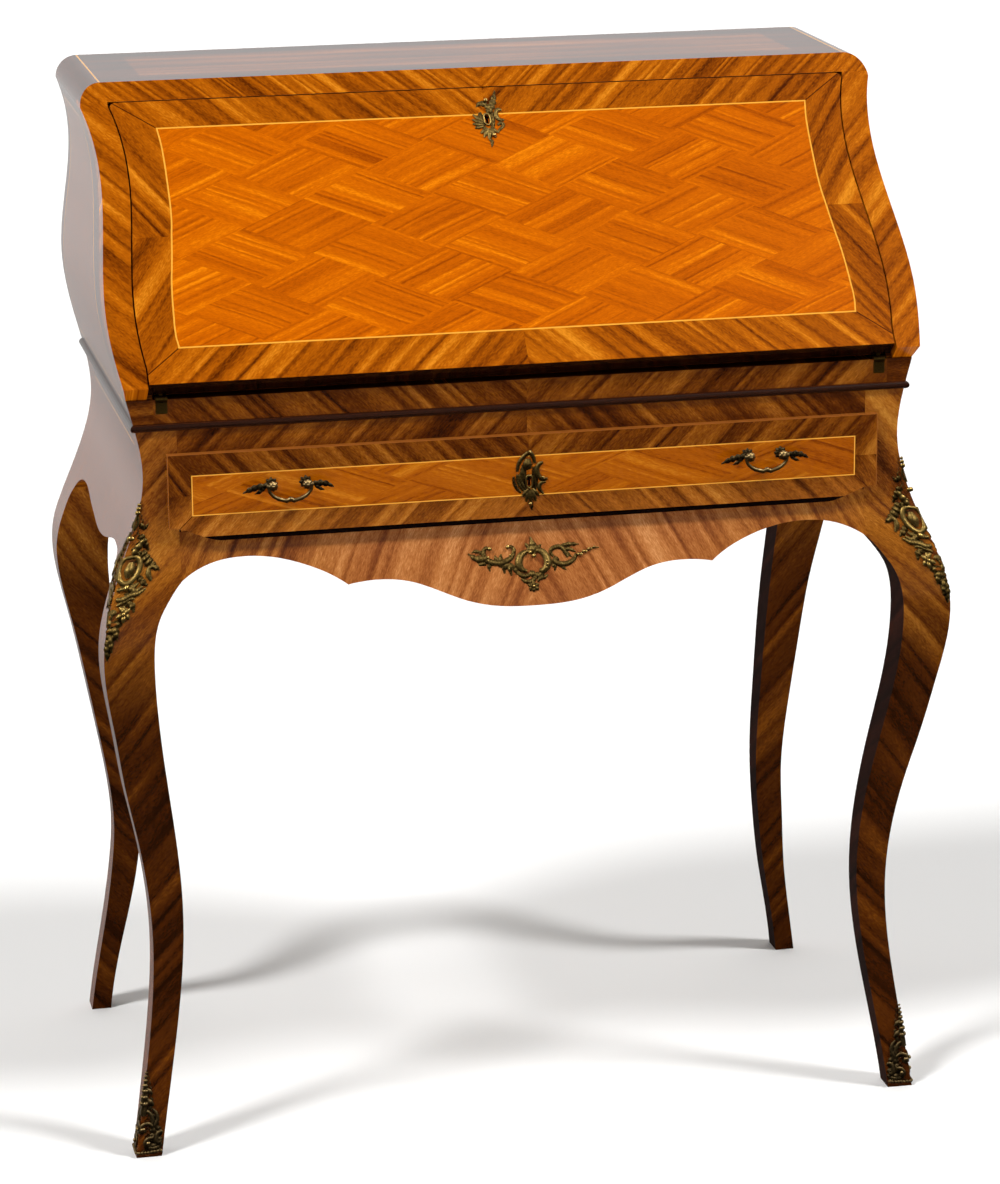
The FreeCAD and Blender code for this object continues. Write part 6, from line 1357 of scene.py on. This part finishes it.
# %% The fall's key plate
FALL_PLATE_STROKES = (
    ("petal", 0.0, ((-5.6, 268, 1.2), (-5.4, 262, 3.0), (-5.0, 255, 2.8), (-3.0, 249, 1.4))),
    ("petal", 0.0, ((5.2, 269, 1.2), (5.2, 262, 2.5), (4.6, 255, 2.3), (3.6, 249, 1.4))),
    ("leaf", 0.4, (
        (2.0, 266.4, 2.2), (4.6, 271.4, 3.8), (8.0, 278.0, 3.4), (9.9, 284, 2.2), (11.8, 291, 0.3),
    )),
    ("leaf", 0.4, ((4.0, 271.0, 2.0), (0.6, 275.6, 3.0), (-3.8, 277.4, 2.8), (-8.4, 273.6, 0.6))),
    ("bead", 1.6, ((1.4, 280.0, 2.0), (3.9, 242.4, 2.1), (13.6, 268.6, 1.2))),
    ("scroll", 0.5, (
        (14.2, 269.4, 1.2), (11.6, 270.2, 1.7), (9.3, 267.2, 1.9), (9.2, 262.8, 2.0), (11.4, 259.2, 1.8),
        (15.8, 258.4, 1.0),
    )),
    ("petal", 0.7, ((-3.6, 258.2, 1.2), (-8.2, 261.4, 1.7), (-12.6, 265.6, 0.7))),
    ("petal", 0.7, ((-4.0, 256.4, 1.2), (-9.2, 258.0, 1.7), (-13.9, 260.6, 0.7))),
    ("petal", 0.7, ((-4.6, 254.6, 1.2), (-9.6, 254.8, 1.7), (-14.0, 255.9, 0.7))),
    ("petal", 0.7, ((-5.0, 252.8, 1.2), (-9.0, 251.6, 1.6), (-12.4, 251.4, 0.7))),
    ("petal", 0.7, ((-1.0, 250.6, 1.4), (-4.8, 247.6, 1.9), (-8.0, 245.2, 0.8))),
    ("petal", 0.7, ((-0.4, 250.4, 1.4), (-3.0, 245.4, 2.0), (-5.2, 241.0, 0.8))),
    ("petal", 0.7, ((0.4, 250.4, 1.4), (0.0, 243.6, 2.1), (-0.6, 237.0, 0.8))),
    ("petal", 0.7, ((1.2, 250.4, 1.4), (3.4, 245.0, 2.0), (5.4, 240.0, 0.8))),
    ("petal", 0.7, ((2.0, 250.6, 1.4), (5.2, 248.2, 1.8), (7.4, 245.6, 0.8))),
    ("petal", 0.4, ((1.0, 238.4, 1.3), (1.2, 235.1, 1.6), (0.1, 230.0, 0.3))),
    ("scroll", 0.6, (
        (9.0, 253.2, 1.1), (11.8, 255.4, 1.5), (14.4, 253.8, 1.5), (12.8, 250.9, 1.4), (9.6, 248.0, 1.2),
        (8.2, 245.0, 0.8),
    )),
    ("rod", 0.7, (
        (-2.5, 256.0, 0.8), (-2.9, 262.4, 1.0), (-1.5, 265.2, 1.0), (1.5, 265.2, 1.0), (2.9, 262.4, 1.0),
        (2.5, 256.0, 0.9), (0, 253.6, 0.9), (-2.5, 256.0, 0.8),
    )),
)
FALL_FACE = 19.5
slope_angle = math.radians(SLOPE)
up_slope = Vector((0, math.cos(slope_angle), math.sin(slope_angle)))
out_of_slope = Vector((0, -math.sin(slope_angle), math.cos(slope_angle)))
on_fall = on_plane(place_mm(0, HINGE_Y, HINGE_Z) + out_of_slope * FALL_FACE * MM, (1, 0, 0), up_slope)
fall_plate = bent(FALL_PLATE_STROKES, on_fall, gilt_bronze)
cast("fall_key_plate", [fall_plate], "fall", ["fall_escutcheon"], gilt_bronze)

# %% The drawer's key plate
DRAWER_PLATE_STROKES = (
    ("petal", 0.0, ((-5.0, 636, 1.4), (-5.4, 628, 3.0), (-5.4, 619, 3.0), (-4.0, 612, 2.0))),
    ("petal", 0.0, ((4.6, 634, 1.4), (5.2, 627, 2.6), (5.4, 619, 2.6), (4.6, 612, 1.8))),
    ("scroll", 0.6, (
        (-10.9, 630.2, 1.2), (-9.4, 637.4, 1.7), (-5.0, 643.6, 1.9), (0.6, 646.8, 1.9), (3.4, 643.6, 1.8),
        (5.2, 637.0, 1.3),
    )),
    ("petal", 0.6, ((-0.6, 631.5, 2.6), (-1.4, 636.5, 4.0), (-0.8, 641.5, 2.0))),
    ("bead", 1.8, ((0.6, 648.0, 1.7), (0.6, 600.0, 1.9), (12.6, 624.0, 1.2))),
    ("scroll", 0.7, (
        (12.8, 637.4, 1.1), (9.7, 636.2, 1.8), (7.4, 632.4, 2.1), (7.6, 627.8, 2.2), (9.8, 623.7, 1.9),
        (12.9, 621.9, 1.7), (17.0, 622.4, 0.9),
    )),
    ("scroll", 0.6, (
        (15.3, 619.2, 1.0), (11.7, 618.8, 1.6), (9.4, 615.8, 1.8), (9.9, 611.9, 1.6), (13.3, 608.6, 0.9),
    )),
    ("ruffle", 0.6, ((-7.0, 629.4, 1.1), (-8.6, 624.8, 1.5), (-6.6, 618.6, 1.6), (-3.4, 613.6, 1.2))),
    ("ruffle", 0.5, ((-10.8, 627.6, 1.1), (-10.6, 621.5, 1.6), (-7.6, 615.4, 1.6), (-4.6, 611.8, 1.1))),
    ("ruffle", 0.3, ((-14.2, 625.6, 1.0), (-13.8, 619.5, 1.6), (-10.6, 613.6, 1.6), (-7.2, 610.2, 1.1))),
    ("petal", 0.7, ((-0.4, 613.2, 1.4), (-3.8, 609.6, 1.9), (-6.4, 606.6, 0.8))),
    ("petal", 0.7, ((0.0, 613.0, 1.4), (-1.6, 607.2, 2.0), (-3.0, 602.0, 0.8))),
    ("petal", 0.7, ((0.8, 613.0, 1.4), (1.2, 606.8, 2.1), (1.6, 600.8, 0.8))),
    ("petal", 0.7, ((1.6, 613.0, 1.4), (4.0, 607.4, 2.0), (6.0, 601.8, 0.8))),
    ("petal", 0.7, ((2.4, 613.2, 1.4), (6.0, 610.2, 1.8), (9.0, 606.8, 0.8))),
    ("petal", 0.4, ((1.8, 601.0, 1.3), (2.0, 597.6, 1.7), (2.4, 593.4, 0.3))),
    ("rod", 0.8, (
        (-2.5, 617.0, 0.8), (-2.9, 623.0, 1.0), (-1.5, 625.8, 1.0), (1.5, 625.8, 1.0), (2.9, 623.0, 1.0),
        (2.5, 617.0, 0.9), (0, 614.6, 0.9), (-2.5, 617.0, 0.8),
    )),
)
DRAWER_FACE = -189.05
on_drawer = on_plane(place_mm(0, DRAWER_FACE, 0), (1, 0, 0), (0, 0, 1))
drawer_plate = bent(DRAWER_PLATE_STROKES, on_drawer, gilt_bronze)
cast("drawer_key_plate", [drawer_plate], "drawer", ["drawer_escutcheon"], gilt_bronze)

# %% [markdown]
# ## The handles
#
# A handle is two round studs and a bail. The bail is wide and shallow, with a little clasp in its middle
# and a drooping leaf beyond each stud, and hangs on pins in the studs' heads, so the whole of it is one
# casting. A stud repeats the same petal, so a loop turns it round the neck.

# %% The bails
HANDLE_X, HANDLE_Z, STUD_HALF, STUD_REACH = 218.5, 633.0, 15.5, 10.5
BAIL_STROKES = (
    ("rod", 0.0, (
        (-19.4, -0.4, 1.3), (-18.8, -4.0, 1.5), (-16.6, -7.6, 1.6), (-12.9, -10.6, 1.7),
        (-7.4, -12.8, 1.8), (-2.9, -13.6, 1.9), (0, -12.4, 2.0), (2.9, -13.6, 1.9), (7.4, -12.8, 1.8),
        (12.9, -10.6, 1.7), (16.6, -7.6, 1.6), (18.8, -4.0, 1.5), (19.4, -0.4, 1.3),
    )),
    ("bead", 0.0, (
        (-3.6, -14.2, 1.9), (0, -12.6, 2.4), (3.6, -14.2, 1.9), (-19.4, 0, 2.2), (19.4, 0, 2.2),
        (-10.6, -11.8, 2.1), (10.6, -11.8, 2.1),
    )),
    ("rod", 0.0, ((-21, 0, 1.3), (-14.6, 0, 1.3))),
    ("rod", 0.0, ((14.6, 0, 1.3), (21, 0, 1.3))),
    ("leaf", -0.6, (
        (-19.0, 0.4, 1.6), (-24.0, 0.6, 2.7), (-30.0, -0.4, 3.1), (-36.0, -2.2, 2.6), (-42.6, -5.0, 0.4),
    )),
    ("leaf", -0.6, ((-22.0, -0.4, 1.4), (-27.0, -4.2, 2.0), (-32.0, -6.4, 0.4))),
    ("leaf", -0.6, (
        (19.0, 0.4, 1.6), (24.0, 0.6, 2.7), (29.0, 0.2, 3.0), (34.0, -1.0, 2.4), (39.4, -4.0, 0.4),
    )),
    ("leaf", -0.6, ((22.0, -0.4, 1.4), (26.0, -4.0, 2.0), (30.6, -6.0, 0.4))),
)
for side, label in ((-1, "left"), (1, "right")):
    pins = place_mm(side * HANDLE_X, DRAWER_FACE - STUD_REACH, HANDLE_Z)
    shape = bent(BAIL_STROKES, on_plane(pins, (1, 0, 0), (0, 0, 1)), dark_bronze)
    cast(f"bail_casting_{label}", [shape], f"bail_{label}", [f"bail_{label}"], dark_bronze)

# %% The studs
PETALS = 8
# A ring of petals on the wood and one on the head: their lift, how far they reach and their half width.
PETAL_RINGS = ((0.0, 6.0, 1.8), (STUD_REACH + 1.2, 4.5, 1.3))


def stud_strokes(x):
    """A turned neck, a domed head with a bead on it and two rings of petals."""
    neck = ((2.8, -0.3), (2.3, 2.5), (2.2, 6.0), (3.0, STUD_REACH))
    strokes = [
        ("rod", 0.0, tuple((x, HANDLE_Z, half, reach) for half, reach in neck)),
        ("bead", STUD_REACH - 0.4, ((x, HANDLE_Z, 4.4),)),
        ("bead", STUD_REACH + 3.3, ((x, HANDLE_Z, 1.7),)),
    ]
    for k in range(PETALS):
        turn = k * math.tau / PETALS
        for lift, reach, width in PETAL_RINGS:
            # The petal's root, belly and tip: how far out, half how wide and how much higher than its ring.
            petal = ((0.8, 0.6, 1.0), (reach * 0.6, width, 0.6), (reach, 0.5, 0.0))
            strokes.append(("petal", lift, tuple(
                (x + out * math.cos(turn), HANDLE_Z + out * math.sin(turn), half, rise)
                for out, half, rise in petal
            )))
    return strokes


stud_places = (HANDLE_X + STUD_HALF, HANDLE_X - STUD_HALF, STUD_HALF - HANDLE_X, -HANDLE_X - STUD_HALF)
studs = [bent(stud_strokes(x), on_drawer, dark_bronze) for x in stud_places]
cast("handle_stud_castings", studs, "drawer", ["handle_studs"], dark_bronze)

# %% [markdown]
# ## Mouldings, insides and metal
#
# The waist moulding is solid mahogany, stained nearly black. The drawers' sides and bottoms are plain oak,
# the small drawers' fronts and the nest are plain mahogany, the writing surface is leather, and locks and
# hinges are steel and brass. None of it is marquetry, so one rule of plain straight grain serves all the
# timber.

# %% Plain timber
GRAIN_TURNS = {"x": (0, 0, 90), "y": (0, 0, 0), "z": (90, 0, 0)}


def plain_grain(axis, band, stain):
    """Plain sawn timber with its grain along an axis."""
    def paint(tree, place, normal):
        tone, fibre = ribbons(tree, in_mm(tree, place, GRAIN_TURNS[axis]), band)
        return stained(tree, tone, stain), fibre
    return paint


small_fronts, small_boxes, small_knobs = (
    tuple(f"small_drawer_{part}_{place}" for place in ("left", "middle", "right"))
    for part in ("front", "box", "knob")
)
TIMBERS = (
    ("stained_moulding", "x", 5, DARK_TIMBER, 0.22, ("waist_moulding",)),
    ("plain_mahogany", "x", 16, PLAIN_TIMBER, 0.35, (
        "lock_rail", "writing_floor", "nest_shelf", *small_fronts,
    )),
    ("plain_mahogany_upright", "z", 16, PLAIN_TIMBER, 0.35, (
        "nest_sides", "nest_uprights", "upper_back", "back_apron",
    )),
    ("waxed_oak", "y", 9, OAK, 0.5, ("drawer_sides", "drawer_floor", "drawer_guides", *small_boxes)),
    ("waxed_oak_across", "x", 9, OAK, 0.5, ("drawer_back",)),
)
for name, axis, band, stain, roughness, nodes in TIMBERS:
    dress(lacquered(name, plain_grain(axis, band, stain), roughness), nodes)

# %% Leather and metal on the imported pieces
CREASE, CREASE_EDGE, WEAR_SPACING = 1.4, 0.35, 60


def grained_leather(name, low, high):
    """Thin waxed leather: a net of fine creases, lighter where the dye is worn off the bumps."""
    material, tree, shader = new_material(name)
    here = put(tree, "ShaderNodeTexCoord")
    here = in_mm(tree, here.outputs["Object"])
    bumps = {"Vector": here, "Scale": 1 / CREASE}
    bumps = put(tree, "ShaderNodeTexVoronoi", bumps, feature="DISTANCE_TO_EDGE")
    bumps = put(tree, "ShaderNodeMapRange", {"Value": bumps, "From Max": CREASE_EDGE})
    worn = put(tree, "ShaderNodeTexNoise", {"Vector": here, "Scale": 1 / WEAR_SPACING, "Detail": 4.0})
    share = put(tree, "ShaderNodeMath", [bumps, worn], operation="MULTIPLY")
    tree.links.new(inlaid(tree, share, colour_of(low), colour_of(high)), shader.inputs["Base Color"])
    shader.inputs["Roughness"].default_value = 0.5
    bump = put(tree, "ShaderNodeBump", {"Strength": 0.5, "Distance": FINE_DEPTH, "Height": bumps})
    tree.links.new(bump.outputs[0], shader.inputs["Normal"])
    return material


dress(grained_leather("skiver", "1b0d06", "4a2a14"), ("fall_leather",))
dress(lock_steel, ("fall_lock", "fall_bolt", "drawer_lock", "drawer_bolt"))
dress(aged_brass, (
    "fall_hinge_leaves", "rail_hinge_leaves", "stay_plates", "stay_brackets", "stay_lower_left",
    "stay_lower_right", "stay_upper_left", "stay_upper_right", *small_knobs,
))
